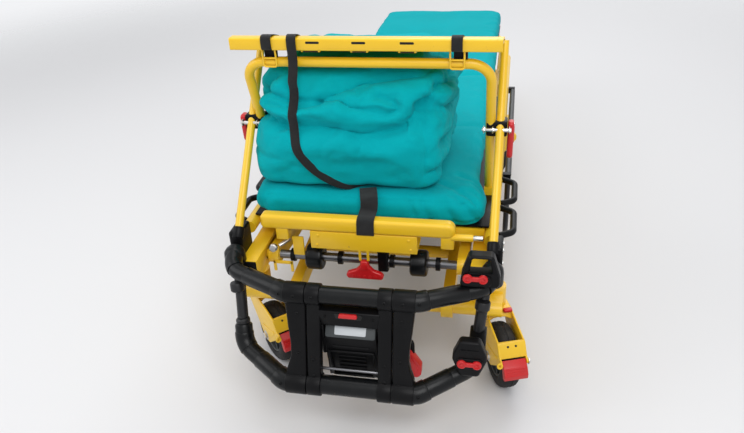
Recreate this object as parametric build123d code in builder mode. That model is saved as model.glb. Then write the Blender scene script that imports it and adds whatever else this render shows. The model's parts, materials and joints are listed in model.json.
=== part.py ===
from build123d import *
import os
from math import asin, atan2, cos, degrees, hypot, radians, sin, tan

# A powered ambulance stretcher on an X-frame, lowered, with an equipment platform over its foot end.
# Millimetres. +X is the right side seen from the foot end, +Y runs from foot to head, +Z is up.
# Distances named "from foot" run from the middle of the lower lift handle's front bar.

os.makedirs("parts", exist_ok=True)

# Overall sizes
overall_length = 2060.0
face_gap = 0.3
moving_gap = 5.0

# X-frame legs and wheels
leg_length = 1125.0
leg_depth = 40.0
leg_wall_gap = 6.0
inner_leg_width = 26.0
outer_leg_width = 24.0
foot_axis = 225.0
lower_axis_height = 200.0
upper_axis_height = 310.0
lift_travel = 690.0
beam_radius = 18.0
lower_eye_radius = 28.0
upper_eye_radius = 20.0
shaft_radius = 10.0
pivot_radius = 9.0
cross_tube_radius = 15.0
roller_width = 20.0
bumper_place = 118.0
bumper_radius = 30.0
bumper_half = 19.0
caster_place = 285.0
caster_setback = 57.0
wheel_radius = 76.0
wheel_width = 45.0
wheel_corner = (9.0, 7.0)
rim_radius = 50.0
rim_recess = 7.0
hub_radius = 15.0
axle_radius = 6.0
caster_trail = 68.0
fork_plate = 4.0
crown_lip = ((-39.0, 100.0), (-25.0, 80.0))
fork_nose = ((54.0, 80.0), (72.0, 50.0))
lug_place = (79.0, 43.0)
lug_radius = 7.0
boss_radius = 14.0
crown_height = 176.0
crown_half = 29.0
stem_radius = 12.0
housing_radius = 25.0
housing_height = 48.0
pedal_outline = ((90.0, 38.0), (99.0, 22.0), (98.0, 10.0), (88.0, 8.0), (80.0, 26.0), (74.5, 36.0))

# Lift cylinder and hydraulic unit
cylinder_reach = 250.0
ear_drop = 70.0
ear_half = 24.0
ear_plate = 8.0
barrel_radius = 19.0
rod_radius = 9.0
rod_showing = 154.0
rod_start = 80.0
neck_radius = 10.0
neck_length = 30.0
cylinder_eye_radius = 18.0
cylinder_eye_half = 12.0
unit_side = (-160.0, -40.0)
unit_span = (645.0, 980.0)
unit_height = 85.0

# Litter frame
channel_outer = 268.0
channel_width = 36.0
channel_wall = 4.0
channel_height = 50.0
channel_foot = 150.0
channel_past_axis = 155.0
slot_clearance = 4.0
side_tube_place = 272.0
side_tube_radius = 15.0
side_tube_rise = 62.0
side_tube_past_channel = 20.0
side_post_width = 16.0
side_post_length = 40.0
socket_foot = 172.0
socket_height = 92.0
socket_length = 60.0
socket_width = 30.0
socket_over_side_tube = 20.0
cross_height = 22.0
cross_width = 34.0
surface_thickness = 4.0
grip_radius = 7.5
grip_reach = 30.0
grip_bend = 18.0

# Heights of the axes that the litter's other pieces follow
side_tube_height = upper_axis_height + side_tube_rise

# Lift handles at the foot end
lower_handle_radius = 20.0
lower_handle_height = 139.0
lower_handle_straight = 142.0
lower_handle_bend = (250.0, 64.0, lower_handle_height + 30)
lower_handle_end = (255.0, 84.0, lower_handle_height + 76)
upper_handle_radius = 18.5
upper_handle_setback = 52.0
upper_handle_height = side_tube_height - 38
upper_handle_straight = 138.0
upper_handle_corner = (274.0, 112.0, side_tube_height - 35)
upper_handle_end = (280.0, 164.4, side_tube_height - 13)
handle_bend = 14.0
strut_radius = 12.0
strut_seat = 4.0
collar_wall = 5.0
upright_half_depth = 15.0

# Patient surface
mattress_half = 244.0
mattress_thickness = 63.4
mattress_corner = 18.0
mattress_foot = 240.0
mattress_past_end = 135.0
surface_half = 266.0
surface_foot = 262.0
back_hinge = 1080.0
back_gap = 18.0
back_tube_radius = 11.0
back_tube_place = 205.0
back_tube_bend = 60.0
back_frame_short = 65.0
back_panel_half = 236.0
back_panel_short = 20.0
hinge_pin_radius = 8.0
backrest_limit = 73.0

# Equipment platform, each place given by its distance from foot and its height
platform_rise = 363.0
hoop_radius = 10.5
hoop_place = 257.5
hoop_top = (310.0, side_tube_height + platform_rise)
hoop_foot = (424.0, side_tube_height + 20)
hoop_bend = 45.0
foot_block = 36.0
post_radius = 9.0
post_place = 278.0
post_foot = (178.0, side_tube_height + 10)
post_head = (520.0, hoop_top[1] + 46)
clamp_place = (364.0, hoop_top[1] - 154)
clamp_size = 34.0
clamp_overhang = 6.0
pad_place = 196.0
pad_half = 14.0
lever_length = 62.0
lever_half = 7.0
tray_half = 277.0
tray_front = (286.0, hoop_top[1] + 55)
tray_depth = 210.0
tray_slope = 15.0
tray_flange = 25.0
tray_wall = 3.0

# Side rails and head section
rail_axis_place = 300.0
rail_radius = 7.0
rail_middle_radius = 6.0
rail_sleeve_radius = 8.0
rail_pin_radius = 3.5
rail_foot = 560.0
rail_head = 1160.0
rail_drop = 195.0
rail_bend = 60.0
bearing_half = 8.0
head_tube_radius = 13.5
head_tube_inside = 120.0
head_bend = 85.0
load_wheel_radius = 62.0
load_wheel_width = 32.0
load_wheel_place = 140.0
load_wheel_setback = 100.0
load_wheel_height = 72.0
load_bracket = 6.0
bracket_gap = 8.0
safety_radius = 8.0
safety_height = 190.0

# Bedding and foot end
bundle_half = 200.0
bundle_shift = -40.0
bundle_size = (272.0, 372.0)
bundle_front = 262.0
bundle_round = 62.0
bundle_brow = 88.0
foot_bar_half = 218.0
foot_bar_height = 34.0
foot_bar_depth = 30.0
foot_bar_place = (208.0, side_tube_height + 39)
foot_plate_half = 118.0
foot_plate_wall = 5.0
foot_plate_bottom = side_tube_height - 22
release_strap = 26.0
battery_half = 55.0
dock_top = upper_handle_height - 34
dock_height = 110.0
dock_span = (38.0, 120.0)
pocket_wall = 8.0
battery_drop = 62.0
pod_depth = 24.0
pod_window = (44.0, 34.0)
pod_window_height = 51.0
switch_height = 23.0
pod_clamp_half = 17.0
pod_clamp_height = 18.0
switch_size = (46.0, 15.0)
switch_depth = 6.0
lever_boot_half = 9.0
lever_boot_place = 121.0
lever_rod_radius = 5.0

# Worked-out places
foot_line = lower_handle_radius - overall_length / 2
channel_inner = channel_outer - channel_width
outer_leg_place = channel_inner - leg_wall_gap - outer_leg_width / 2
inner_leg_place = outer_leg_place - outer_leg_width / 2 - leg_wall_gap - 2 - inner_leg_width / 2
rise = upper_axis_height - lower_axis_height
low_angle = asin(rise / leg_length)
high_angle = asin((rise + lift_travel) / leg_length)
head_axis = foot_axis + leg_length * cos(low_angle)
shaft_travel = leg_length * (cos(low_angle) - cos(high_angle))
cross_axis = ((foot_axis + head_axis) / 2, (lower_axis_height + upper_axis_height) / 2)
surface_height = side_tube_height + side_tube_radius + face_gap
mattress_bottom = surface_height + surface_thickness + face_gap
mattress_top = mattress_bottom + mattress_thickness
mattress_head = overall_length - mattress_past_end
channel_bottom = upper_axis_height - channel_height / 2
channel_top = channel_bottom + channel_height
channel_head = head_axis + channel_past_axis
cross_bottom = side_tube_height - cross_height / 2


def along(distance):
    """The y of a place given by its distance from the foot."""
    return foot_line + distance


def spot(x, distance, z):
    return (x, along(distance), z)


def side_plane(x):
    """A plane across X whose first axis is +Y and second is +Z, with distances from the foot."""
    return Plane(origin=(x, foot_line, 0), x_dir=(0, 1, 0), z_dir=(1, 0, 0))


def finish(piece, name):
    """Names a finished piece and writes its file."""
    piece.part.label = name
    export_step(piece.part, f"parts/{name}.step")


def both_sides(near, far):
    """The low and high x of a piece on each side, from its inner and outer distance."""
    return ((-far, -near), (near, far))


def tube_plane(start, toward):
    """A plane at a path's start, square to its first run."""
    return Plane(origin=start, z_dir=Vector(*toward) - Vector(*start))


def bent_tube(points, bend, radius, name):
    """A round tube through the points with each corner bent to one radius."""
    with BuildPart() as tube:
        with BuildLine() as path:
            FilletPolyline(*points, radius=bend)
        with BuildSketch(tube_plane(points[0], points[1])):
            Circle(radius)
        sweep(path=path.line)
    finish(tube, name)


def straight_tubes(ends, radius, name):
    """Round bars between pairs of points, one solid each."""
    with BuildPart() as bars:
        for start, end in ends:
            with BuildSketch(tube_plane(start, end)):
                Circle(radius)
            extrude(amount=(Vector(*end) - Vector(*start)).length)
    finish(bars, name)


def box_between(low, high, mode=Mode.ADD):
    """Adds a box between two corners, given with distances from the foot."""
    size = [b - a for a, b in zip(low, high)]
    with BuildSketch(Plane.XY.offset(low[2])) as footprint:
        with Locations((low[0] + size[0] / 2, along(low[1] + size[1] / 2))):
            Rectangle(size[0], size[1])
    extrude(footprint.sketch, amount=size[2], mode=mode)


# Litter side channels, slotted on the inside where the upper roller shaft travels
for side, sign in (("left", -1), ("right", 1)):
    with BuildPart() as channel:
        middle = sign * (channel_outer - channel_width / 2)
        with BuildSketch(Plane(origin=spot(middle, channel_foot, channel_bottom + channel_height / 2),
                               x_dir=(-1, 0, 0), z_dir=(0, 1, 0))):
            Rectangle(channel_width, channel_height)
            Rectangle(channel_width - 2 * channel_wall, channel_height - 2 * channel_wall, mode=Mode.SUBTRACT)
        extrude(amount=channel_head - channel_foot)
        with BuildSketch(side_plane(sign * (channel_inner + channel_wall / 2))):
            with Locations((foot_axis + shaft_travel / 2, upper_axis_height)):
                SlotCenterToCenter(shaft_travel, 2 * (shaft_radius + slot_clearance))
        extrude(amount=channel_wall, both=True, mode=Mode.SUBTRACT)
    finish(channel, f"litter_channel_{side}")

# Side tubes above the channels, with posts down to them
side_tube_foot = socket_foot + socket_length + face_gap
side_tube_head = channel_head + side_tube_past_channel
post_stations = (330.0, 800.0, 1250.0, channel_head - side_tube_past_channel)
side_post_place = channel_outer - channel_width / 2 + side_post_width / 2
for side, sign in (("left", -1), ("right", 1)):
    with BuildPart() as side_tube:
        with BuildSketch(Plane(origin=spot(sign * side_tube_place, side_tube_foot, side_tube_height),
                               z_dir=(0, 1, 0))):
            Circle(side_tube_radius)
        extrude(amount=side_tube_head - side_tube_foot)
        for station in post_stations:
            with BuildSketch(Plane.XY.offset(channel_top + face_gap)):
                with Locations((sign * side_post_place, along(station))):
                    Rectangle(side_post_width, side_post_length)
            extrude(amount=side_tube_height - channel_top - face_gap)
    finish(side_tube, f"side_tube_{side}")

# Corner sockets that carry the handles and the platform posts
socket_top = side_tube_height + socket_over_side_tube
with BuildPart() as sockets:
    for low_x, high_x in both_sides(channel_outer + face_gap, channel_outer + face_gap + socket_width):
        box_between((low_x, socket_foot, socket_top - socket_height),
                    (high_x, socket_foot + socket_length, socket_top))
finish(sockets, "corner_sockets")

# Grips bent out from the side tubes, two on each side: where each starts and ends along the tube
grip_spans = ((258.0, 382.0), (402.0, 526.0))
with BuildPart() as grips:
    for sign in (-1, 1):
        near = side_tube_place + side_tube_radius + face_gap
        for foot, head in grip_spans:
            route = [spot(sign * x, distance, side_tube_height)
                     for x, distance in ((near, foot), (near + grip_reach, foot + grip_bend),
                                         (near + grip_reach, head - grip_bend), (near, head))]
            with BuildLine() as grip_path:
                FilletPolyline(*route, radius=grip_bend)
            with BuildSketch(tube_plane(route[0], route[1])):
                Circle(grip_radius)
            sweep(path=grip_path.line)
    for sign in (-1, 1):
        with BuildSketch(Plane(origin=spot(sign * side_tube_place, side_tube_foot, side_tube_height),
                               z_dir=(0, 1, 0))):
            Circle(side_tube_radius + face_gap)
        extrude(amount=side_tube_head - side_tube_foot, mode=Mode.SUBTRACT)
finish(grips, "side_grips")

# Cross members between the side tubes, above the legs, and one between the channels at the head
cross_stations = (surface_foot + cross_width / 2, 640.0, back_hinge - cross_width)
head_cross_station = channel_head - cross_width
cylinder_root = (cross_stations[1] - 15, upper_axis_height - 14)
hanger_half = barrel_radius + moving_gap
hanger_plate = 8.0
hanger_drop = 20.0
with BuildPart() as crossmembers:
    reach = side_tube_place - side_tube_radius - face_gap
    for station in cross_stations:
        box_between((-reach, station - cross_width / 2, cross_bottom),
                    (reach, station + cross_width / 2, cross_bottom + cross_height))
    reach = channel_inner - face_gap
    box_between((-reach, head_cross_station - cross_width / 2, upper_axis_height - cross_height / 2),
                (reach, head_cross_station + cross_width / 2, upper_axis_height + cross_height / 2))
    for low_x, high_x in both_sides(hanger_half, hanger_half + hanger_plate):
        box_between((low_x, cylinder_root[0] - hanger_drop, cylinder_root[1] - hanger_drop),
                    (high_x, cross_stations[1] + cross_width / 2, cross_bottom))
    with BuildSketch(side_plane(0)):
        with Locations(cylinder_root):
            Circle(pivot_radius)
    extrude(amount=hanger_half + hanger_plate, both=True)
finish(crossmembers, "litter_crossmembers")

# Fixed shafts: the inner legs' upper pivot and the backrest's hinge
hinge_height = side_tube_height + side_tube_radius - back_tube_radius
shaft_table = ((head_axis, upper_axis_height, shaft_radius, channel_inner),
               (back_hinge, hinge_height, hinge_pin_radius, side_tube_place - side_tube_radius))
with BuildPart() as pivot_shafts:
    for station, height, radius, reach in shaft_table:
        with BuildSketch(side_plane(0)):
            with Locations((station, height)):
                Circle(radius)
        extrude(amount=reach - face_gap, both=True)
finish(pivot_shafts, "pivot_shafts")

# Lift handles
upper_points = []
lower_points = []
for sign in (-1, 1):
    corner = upper_handle_corner
    upper_side = [spot(sign * upper_handle_end[0], *upper_handle_end[1:]),
                  spot(sign * corner[0], corner[1], corner[2]),
                  spot(sign * upper_handle_straight, upper_handle_setback, upper_handle_height)]
    lower_side = [spot(sign * lower_handle_end[0], *lower_handle_end[1:]),
                  spot(sign * lower_handle_bend[0], *lower_handle_bend[1:]),
                  spot(sign * lower_handle_straight, 0, lower_handle_height)]
    upper_points += upper_side if sign < 0 else upper_side[::-1]
    lower_points += lower_side if sign < 0 else lower_side[::-1]
bent_tube(upper_points, handle_bend, upper_handle_radius, "upper_lift_handle")
bent_tube(lower_points, handle_bend, lower_handle_radius, "lower_lift_handle")

# Side struts between the two handles
strut_way = [b - a for a, b in zip(lower_handle_bend, lower_handle_end)]
strut_under = upper_handle_corner[2] - upper_handle_radius - strut_seat
strut_ends = []
for sign in (-1, 1):
    ends = []
    for height in (lower_handle_end[2] + face_gap, strut_under):
        share = (height - lower_handle_end[2]) / strut_way[2]
        ends.append(spot(sign * (lower_handle_end[0] + share * strut_way[0]),
                         lower_handle_end[1] + share * strut_way[1], height))
    strut_ends.append(ends)
straight_tubes(strut_ends, strut_radius, "handle_struts")

# Uprights clamped round both handles: place across, width
upright_table = ((79.0, 28.0), (110.0, 28.0))
low_bar = (0.0, lower_handle_height)
high_bar = (upper_handle_setback, upper_handle_height)
upright_lean = atan2(high_bar[0] - low_bar[0], high_bar[1] - low_bar[1])
with BuildPart() as uprights:
    for place, width in upright_table:
        for sign in (-1, 1):
            with BuildSketch(side_plane(sign * place)) as outline:
                with BuildLine():
                    across = (cos(upright_lean) * upright_half_depth, -sin(upright_lean) * upright_half_depth)
                    Polyline((low_bar[0] - across[0], low_bar[1] - across[1]),
                             (high_bar[0] - across[0], high_bar[1] - across[1]),
                             (high_bar[0] + across[0], high_bar[1] + across[1]),
                             (low_bar[0] + across[0], low_bar[1] + across[1]), close=True)
                make_face()
                with Locations(low_bar):
                    Circle(lower_handle_radius + collar_wall)
                with Locations(high_bar):
                    Circle(upper_handle_radius + collar_wall)
                with Locations(low_bar):
                    Circle(lower_handle_radius + face_gap, mode=Mode.SUBTRACT)
                with Locations(high_bar):
                    Circle(upper_handle_radius + face_gap, mode=Mode.SUBTRACT)
            extrude(amount=width / 2, both=True)
finish(uprights, "handle_uprights")

# Battery and the dock between the inner uprights
dock_half = upright_table[0][0] - upright_table[0][1] / 2 - face_gap
dock_bottom = dock_top - dock_height
battery_bottom = dock_bottom - battery_drop
battery_top = dock_top - 2 * pocket_wall - face_gap
battery_back = dock_span[1] - pocket_wall - face_gap
with BuildPart() as dock:
    box_between((-dock_half, dock_span[0], dock_bottom), (dock_half, dock_span[1], dock_top))
    box_between((-battery_half - face_gap, dock_span[0], dock_bottom),
                (battery_half + face_gap, dock_span[1] - pocket_wall, dock_top - 2 * pocket_wall), mode=Mode.SUBTRACT)
finish(dock, "battery_dock")
with BuildPart() as battery:
    with BuildSketch(side_plane(0)):
        with BuildLine():
            Polyline((dock_span[0] - 8, battery_top - 40), (dock_span[0] + 6, battery_bottom),
                     (battery_back, battery_bottom), (battery_back, battery_top),
                     (dock_span[0] + 20, battery_top), close=True)
        make_face()
    extrude(amount=battery_half, both=True)
finish(battery, "battery")

# Red lever beside the battery, hung under the dock on a rod
lever_top = dock_bottom - face_gap - lever_rod_radius
with BuildPart() as lever:
    with BuildSketch(side_plane(0)):
        with Locations((dock_span[1] - pocket_wall, lever_top)):
            Circle(lever_rod_radius)
    extrude(amount=lever_boot_place)
    with BuildSketch(side_plane(lever_boot_place)):
        with BuildLine():
            Polyline((dock_span[1] - 20, lever_top + 8), (dock_span[1], lever_top + 8), (dock_span[1], lever_top - 40),
                     (dock_span[1] - 14, lever_top - 100), (dock_span[1] - 44, lever_top - 100),
                     (dock_span[1] - 36, lever_top - 60), close=True)
        make_face()
        fillet(vertices().group_by(Axis.Y)[0], 9)
    extrude(amount=lever_boot_half, both=True)
    split(bisect_by=Plane.YZ.offset(battery_half + 2 * face_gap), keep=Keep.TOP)
finish(lever, "foot_end_lever")

# Control pods on the right side, with a rocker switch on each: place across, distance from foot and bottom,
# the outline's half widths at the bottom, shoulder and top, its shoulder and top heights, and the switch's place
pod_table = (
    ((258.0, 96.0, upper_handle_corner[2] + upper_handle_radius + face_gap), (39.0, 39.0, 25.0), (26.0, 73.0), 248.0),
    ((244.0, 38.0, lower_handle_height + 49), (22.0, 34.0, 20.0), (34.0, 74.0), 244.0),
)
low_pod_back = pod_table[1][0][1] + pod_depth / 2
pod_clamp_bottom = lower_handle_end[2] + 11
clamp_share = (pod_clamp_bottom + pod_clamp_height / 2 - lower_handle_end[2]) / strut_way[2]
clamp_middle = (lower_handle_end[0] + clamp_share * strut_way[0], lower_handle_end[1] + clamp_share * strut_way[1])
with BuildPart() as pods:
    for place, (foot_half, shoulder_half, top_half), (shoulder, top), _ in pod_table:
        with BuildSketch(Plane(origin=spot(*place), x_dir=(1, 0, 0), z_dir=(0, -1, 0))):
            with BuildLine():
                Polyline((-foot_half, 0), (foot_half, 0), (shoulder_half, shoulder), (top_half, top),
                         (-top_half, top), (-shoulder_half, shoulder), close=True)
            make_face()
        extrude(amount=pod_depth / 2, both=True)
    with BuildSketch(Plane(origin=spot(*pod_table[0][0]), x_dir=(1, 0, 0), z_dir=(0, -1, 0))):
        with Locations((0, pod_window_height)):
            Rectangle(*pod_window)
    extrude(amount=pod_depth / 2, both=True, mode=Mode.SUBTRACT)
    box_between((clamp_middle[0] - pod_clamp_half, low_pod_back - 1, pod_clamp_bottom),
                (clamp_middle[0] + pod_clamp_half, clamp_middle[1] + pod_clamp_half,
                 pod_clamp_bottom + pod_clamp_height))
    with BuildSketch(tube_plane(*strut_ends[1])):
        Circle(strut_radius + face_gap)
    extrude(amount=(Vector(*strut_ends[1][1]) - Vector(*strut_ends[1][0])).length, mode=Mode.SUBTRACT)
finish(pods, "control_pods")
with BuildPart() as switches:
    for (_, distance, bottom), _, _, across in pod_table:
        with BuildSketch(Plane(origin=spot(across, distance - pod_depth / 2 - face_gap, bottom + switch_height),
                               x_dir=(1, 0, 0), z_dir=(0, -1, 0))):
            SlotOverall(*switch_size)
        extrude(amount=switch_depth)
finish(switches, "control_switches")

# Yellow bar across the foot end, the plate under it and the straps of the release handle
bar_station, bar_height = foot_bar_place
arm_bottom = cross_bottom + 6
with BuildPart() as foot_bar:
    with BuildSketch(Plane(origin=spot(0, bar_station, bar_height), x_dir=(1, 0, 0), z_dir=(0, -1, 0))):
        SlotOverall(2 * foot_bar_half, foot_bar_height)
    extrude(amount=foot_bar_depth / 2, both=True)
    for low_x, high_x in both_sides(foot_bar_half - 50, foot_bar_half - 22):
        box_between((low_x, bar_station - foot_bar_depth / 2, arm_bottom), (high_x, bar_station, bar_height))
        box_between((low_x, bar_station, arm_bottom), (high_x, surface_foot - face_gap, cross_bottom + cross_height))
finish(foot_bar, "foot_bar")
plate_front = bar_station - 12
foot_bar_bottom = bar_height - foot_bar_height / 2
with BuildPart() as foot_plate:
    box_between((-foot_plate_half, plate_front, foot_plate_bottom),
                (foot_plate_half, plate_front + foot_plate_wall, foot_bar_bottom - face_gap))
    box_between((-foot_plate_half, plate_front, foot_plate_bottom),
                (foot_plate_half, surface_foot - face_gap, foot_plate_bottom + foot_plate_wall))
    for low_x, high_x in both_sides(6.0, 12.0):
        box_between((low_x, plate_front, foot_plate_bottom - release_strap),
                    (high_x, plate_front + foot_plate_wall, foot_plate_bottom))
finish(foot_plate, "foot_plate")
release_top = foot_plate_bottom - release_strap - face_gap
with BuildPart() as release:
    with BuildSketch(Plane(origin=spot(0, plate_front + foot_plate_wall / 2, release_top),
                           x_dir=(1, 0, 0), z_dir=(0, -1, 0))):
        with BuildLine():
            Polyline((-12, 0), (12, 0), (16, -16), (42, -30), (42, -46), (-42, -46), (-42, -30), (-16, -16),
                     close=True)
        make_face()
        fillet(vertices().group_by(Axis.Y)[0], 8)
    extrude(amount=7, both=True)
finish(release, "release_handle")

# Top face of the tray, sloping down towards the head
slope = radians(tray_slope)
tray_plane = Plane(origin=spot(0, *tray_front), x_dir=(1, 0, 0), z_dir=(0, sin(slope), cos(slope)))

# Equipment platform: straight posts, hoop, clamps with levers, and the tray
with BuildPart() as posts:
    for sign in (-1, 1):
        start, end = spot(sign * post_place, *post_foot), spot(sign * post_place, *post_head)
        with BuildSketch(tube_plane(start, end)):
            Circle(post_radius)
        extrude(amount=(Vector(*end) - Vector(*start)).length)
    split(bisect_by=Plane.XY.offset(socket_top + face_gap), keep=Keep.TOP)
    split(bisect_by=tray_plane.offset(-tray_wall - face_gap), keep=Keep.BOTTOM)
finish(posts, "platform_posts")

hoop_points = []
for sign in (-1, 1):
    leg = [spot(sign * hoop_place, *hoop_foot), spot(sign * hoop_place, *hoop_top)]
    hoop_points += leg if sign < 0 else leg[::-1]
with BuildPart() as hoop:
    with BuildLine() as hoop_path:
        FilletPolyline(*hoop_points, radius=hoop_bend)
    with BuildSketch(tube_plane(hoop_points[0], hoop_points[1])):
        Circle(hoop_radius)
    sweep(path=hoop_path.line)
    for low_x, high_x in both_sides(hoop_place - hoop_radius, side_tube_place + side_tube_radius - 3):
        box_between((low_x, hoop_foot[0] - foot_block / 2, surface_height),
                    (high_x, hoop_foot[0] + foot_block / 2, surface_height + cross_height))
finish(hoop, "platform_hoop")

clamp_outer = post_place + post_radius + clamp_overhang
with BuildPart() as clamps:
    for sign in (-1, 1):
        box_between((sign * pad_place - pad_half, hoop_top[0] - 7, hoop_top[1] + hoop_radius + face_gap),
                    (sign * pad_place + pad_half, hoop_top[0] - 1, tray_front[1] - tray_flange - face_gap))
    for low_x, high_x in both_sides(hoop_place - hoop_radius + 2, clamp_outer):
        box_between((low_x, clamp_place[0] - clamp_size / 2, clamp_place[1] - clamp_size / 2),
                    (high_x, clamp_place[0] + clamp_size / 2, clamp_place[1] + clamp_size / 2))
    for sign in (-1, 1):
        start, end = spot(sign * post_place, *post_foot), spot(sign * post_place, *post_head)
        with BuildSketch(tube_plane(start, end)):
            Circle(post_radius + face_gap)
        extrude(amount=(Vector(*end) - Vector(*start)).length, mode=Mode.SUBTRACT)
        start, end = spot(sign * hoop_place, *hoop_foot), spot(sign * hoop_place, *hoop_top)
        with BuildSketch(tube_plane(start, end)):
            Circle(hoop_radius + face_gap)
        extrude(amount=(Vector(*end) - Vector(*start)).length, mode=Mode.SUBTRACT)
finish(clamps, "platform_clamps")

lever_head = clamp_place[1] + 12
with BuildPart() as levers:
    for sign in (-1, 1):
        with BuildSketch(side_plane(sign * (clamp_outer + face_gap + lever_half))):
            with BuildLine():
                Polyline((clamp_place[0] - 12, lever_head), (clamp_place[0] + 12, lever_head),
                         (clamp_place[0] + 9, lever_head - lever_length),
                         (clamp_place[0] - 7, lever_head - lever_length), close=True)
            make_face()
        extrude(amount=lever_half, both=True)
finish(levers, "platform_levers")

# Tray: a sheet with a flange along its front, resting on the hoop's bar and the posts' ends
with BuildPart() as tray:
    with BuildSketch(tray_plane):
        with Locations((0, tray_depth / 2)):
            Rectangle(2 * tray_half, tray_depth)
    extrude(amount=-tray_wall)
    with BuildSketch(Plane(origin=spot(0, *tray_front), x_dir=(1, 0, 0), z_dir=(0, -1, 0))):
        with Locations((0, -tray_flange / 2)):
            Rectangle(2 * tray_half, tray_flange)
    extrude(amount=-tray_flange)
    with BuildSketch(Plane(origin=spot(0, tray_front[0] + tray_flange / 2, tray_front[1] - tray_flange / 2),
                           x_dir=(0, 1, 0), z_dir=(1, 0, 0))):
        Rectangle(tray_flange - 2 * tray_wall, tray_flange - 2 * tray_wall)
    extrude(amount=tray_half, both=True, mode=Mode.SUBTRACT)
finish(tray, "platform_tray")

# Leg and seat panel, mattress and bedding
with BuildPart() as panel:
    box_between((-surface_half, surface_foot, surface_height),
                (surface_half, back_hinge - back_gap, surface_height + surface_thickness))
    for low_x, high_x in both_sides(hoop_place - hoop_radius - face_gap, surface_half):
        box_between((low_x, hoop_foot[0] - foot_block / 2 - face_gap, surface_height),
                    (high_x, hoop_foot[0] + foot_block / 2 + face_gap, surface_height + surface_thickness),
                    mode=Mode.SUBTRACT)
finish(panel, "seat_panel")

# The mattress parts in a notch that closes as the backrest rises
notch = [3 + (z - hinge_height) * tan(radians(backrest_limit / 2)) for z in (mattress_bottom, mattress_top)]
for name, end, way in (("seat", mattress_foot, -1), ("back", mattress_head, 1)):
    with BuildPart() as mattress:
        with BuildSketch(side_plane(0)):
            with BuildLine():
                Polyline((end, mattress_bottom), (end, mattress_top), (back_hinge + way * notch[1], mattress_top),
                         (back_hinge + way * notch[0], mattress_bottom), close=True)
            make_face()
        extrude(amount=mattress_half, both=True)
        fillet(mattress.edges().filter_by(Axis.Z), mattress_corner)
    finish(mattress, f"mattress_{name}")

bundle_foot = mattress_top + face_gap
bundle_crown = bundle_foot + bundle_size[0]
with BuildPart() as bundle:
    with BuildSketch(side_plane(bundle_shift - bundle_half)):
        with BuildLine():
            Polyline((bundle_front, bundle_foot), (bundle_front + bundle_size[1], bundle_foot),
                     (bundle_front + bundle_size[1], bundle_crown - bundle_round),
                     (bundle_front + bundle_size[1] - bundle_round, bundle_crown),
                     (bundle_front + bundle_brow, bundle_crown),
                     (bundle_front + bundle_brow / 3, bundle_crown - bundle_round),
                     (bundle_front, bundle_crown - 2 * bundle_round), close=True)
        make_face()
    extrude(amount=2 * bundle_half)
finish(bundle, "bedding_bundle")

# Backrest on its hinge pin
back_frame_head = mattress_head - back_frame_short
knuckle_half = 12.0
back_points = []
for sign in (-1, 1):
    run = [spot(sign * back_tube_place, back_hinge + knuckle_half, hinge_height),
           spot(sign * back_tube_place, back_frame_head, hinge_height)]
    back_points += run if sign < 0 else run[::-1]
with BuildPart() as back_frame:
    with BuildLine() as back_path:
        FilletPolyline(*back_points, radius=back_tube_bend)
    with BuildSketch(tube_plane(back_points[0], back_points[1])):
        Circle(back_tube_radius)
    sweep(path=back_path.line)
    for sign in (-1, 1):
        with BuildSketch(side_plane(sign * back_tube_place)):
            with Locations((back_hinge, hinge_height)):
                Circle(hinge_pin_radius + 6)
        extrude(amount=knuckle_half, both=True)
    with BuildSketch(side_plane(0)):
        with Locations((back_hinge, hinge_height)):
            Circle(hinge_pin_radius + face_gap)
    extrude(amount=back_tube_place + 2 * knuckle_half, both=True, mode=Mode.SUBTRACT)
finish(back_frame, "backrest_frame")
with BuildPart() as back_panel:
    box_between((-back_panel_half, back_hinge + back_gap, surface_height),
                (back_panel_half, mattress_head - back_panel_short, surface_height + surface_thickness))
finish(back_panel, "backrest_panel")

# Side rails, folded down, each on hinge knuckles along its side tube
for side, sign in (("left", -1), ("right", 1)):
    with BuildPart() as rail:
        corners = [spot(sign * rail_axis_place, rail_foot, side_tube_height),
                   spot(sign * rail_axis_place, rail_foot, side_tube_height - rail_drop),
                   spot(sign * rail_axis_place, rail_head, side_tube_height - rail_drop),
                   spot(sign * rail_axis_place, rail_head, side_tube_height)]
        with BuildLine() as rail_path:
            FilletPolyline(*corners, radius=rail_bend)
        with BuildSketch(tube_plane(corners[0], corners[1])):
            Circle(rail_radius)
        sweep(path=rail_path.line)
        with BuildSketch(Plane(origin=spot(sign * rail_axis_place, rail_foot - rail_radius, side_tube_height),
                               z_dir=(0, 1, 0))):
            Circle(rail_sleeve_radius)
        extrude(amount=rail_head - rail_foot + 2 * rail_radius)
        with BuildSketch(Plane(origin=spot(sign * rail_axis_place, rail_foot, side_tube_height - rail_drop / 2),
                               z_dir=(0, 1, 0))):
            Circle(rail_middle_radius)
        extrude(amount=rail_head - rail_foot)
        with BuildSketch(Plane(origin=spot(sign * rail_axis_place, rail_foot - 10, side_tube_height), z_dir=(0, 1, 0))):
            Circle(rail_pin_radius + face_gap)
        extrude(amount=rail_head - rail_foot + 20, mode=Mode.SUBTRACT)
    finish(rail, f"side_rail_{side}")
with BuildPart() as rail_bearings:
    bearing_reach = rail_radius + bearing_half + 1
    for sign, (low_x, high_x) in zip((-1, 1), both_sides(side_tube_place + side_tube_radius + face_gap,
                                                         rail_axis_place + rail_radius)):
        for station in (rail_foot - bearing_reach, rail_head + bearing_reach):
            box_between((low_x, station - bearing_half, side_tube_height - bearing_half - 1),
                        (high_x, station + bearing_half, side_tube_height + bearing_half + 1))
        with BuildSketch(Plane(origin=spot(sign * rail_axis_place, rail_foot - bearing_reach, side_tube_height),
                               z_dir=(0, 1, 0))):
            Circle(rail_pin_radius)
        extrude(amount=rail_head - rail_foot + 2 * bearing_reach)
finish(rail_bearings, "rail_bearings")

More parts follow.
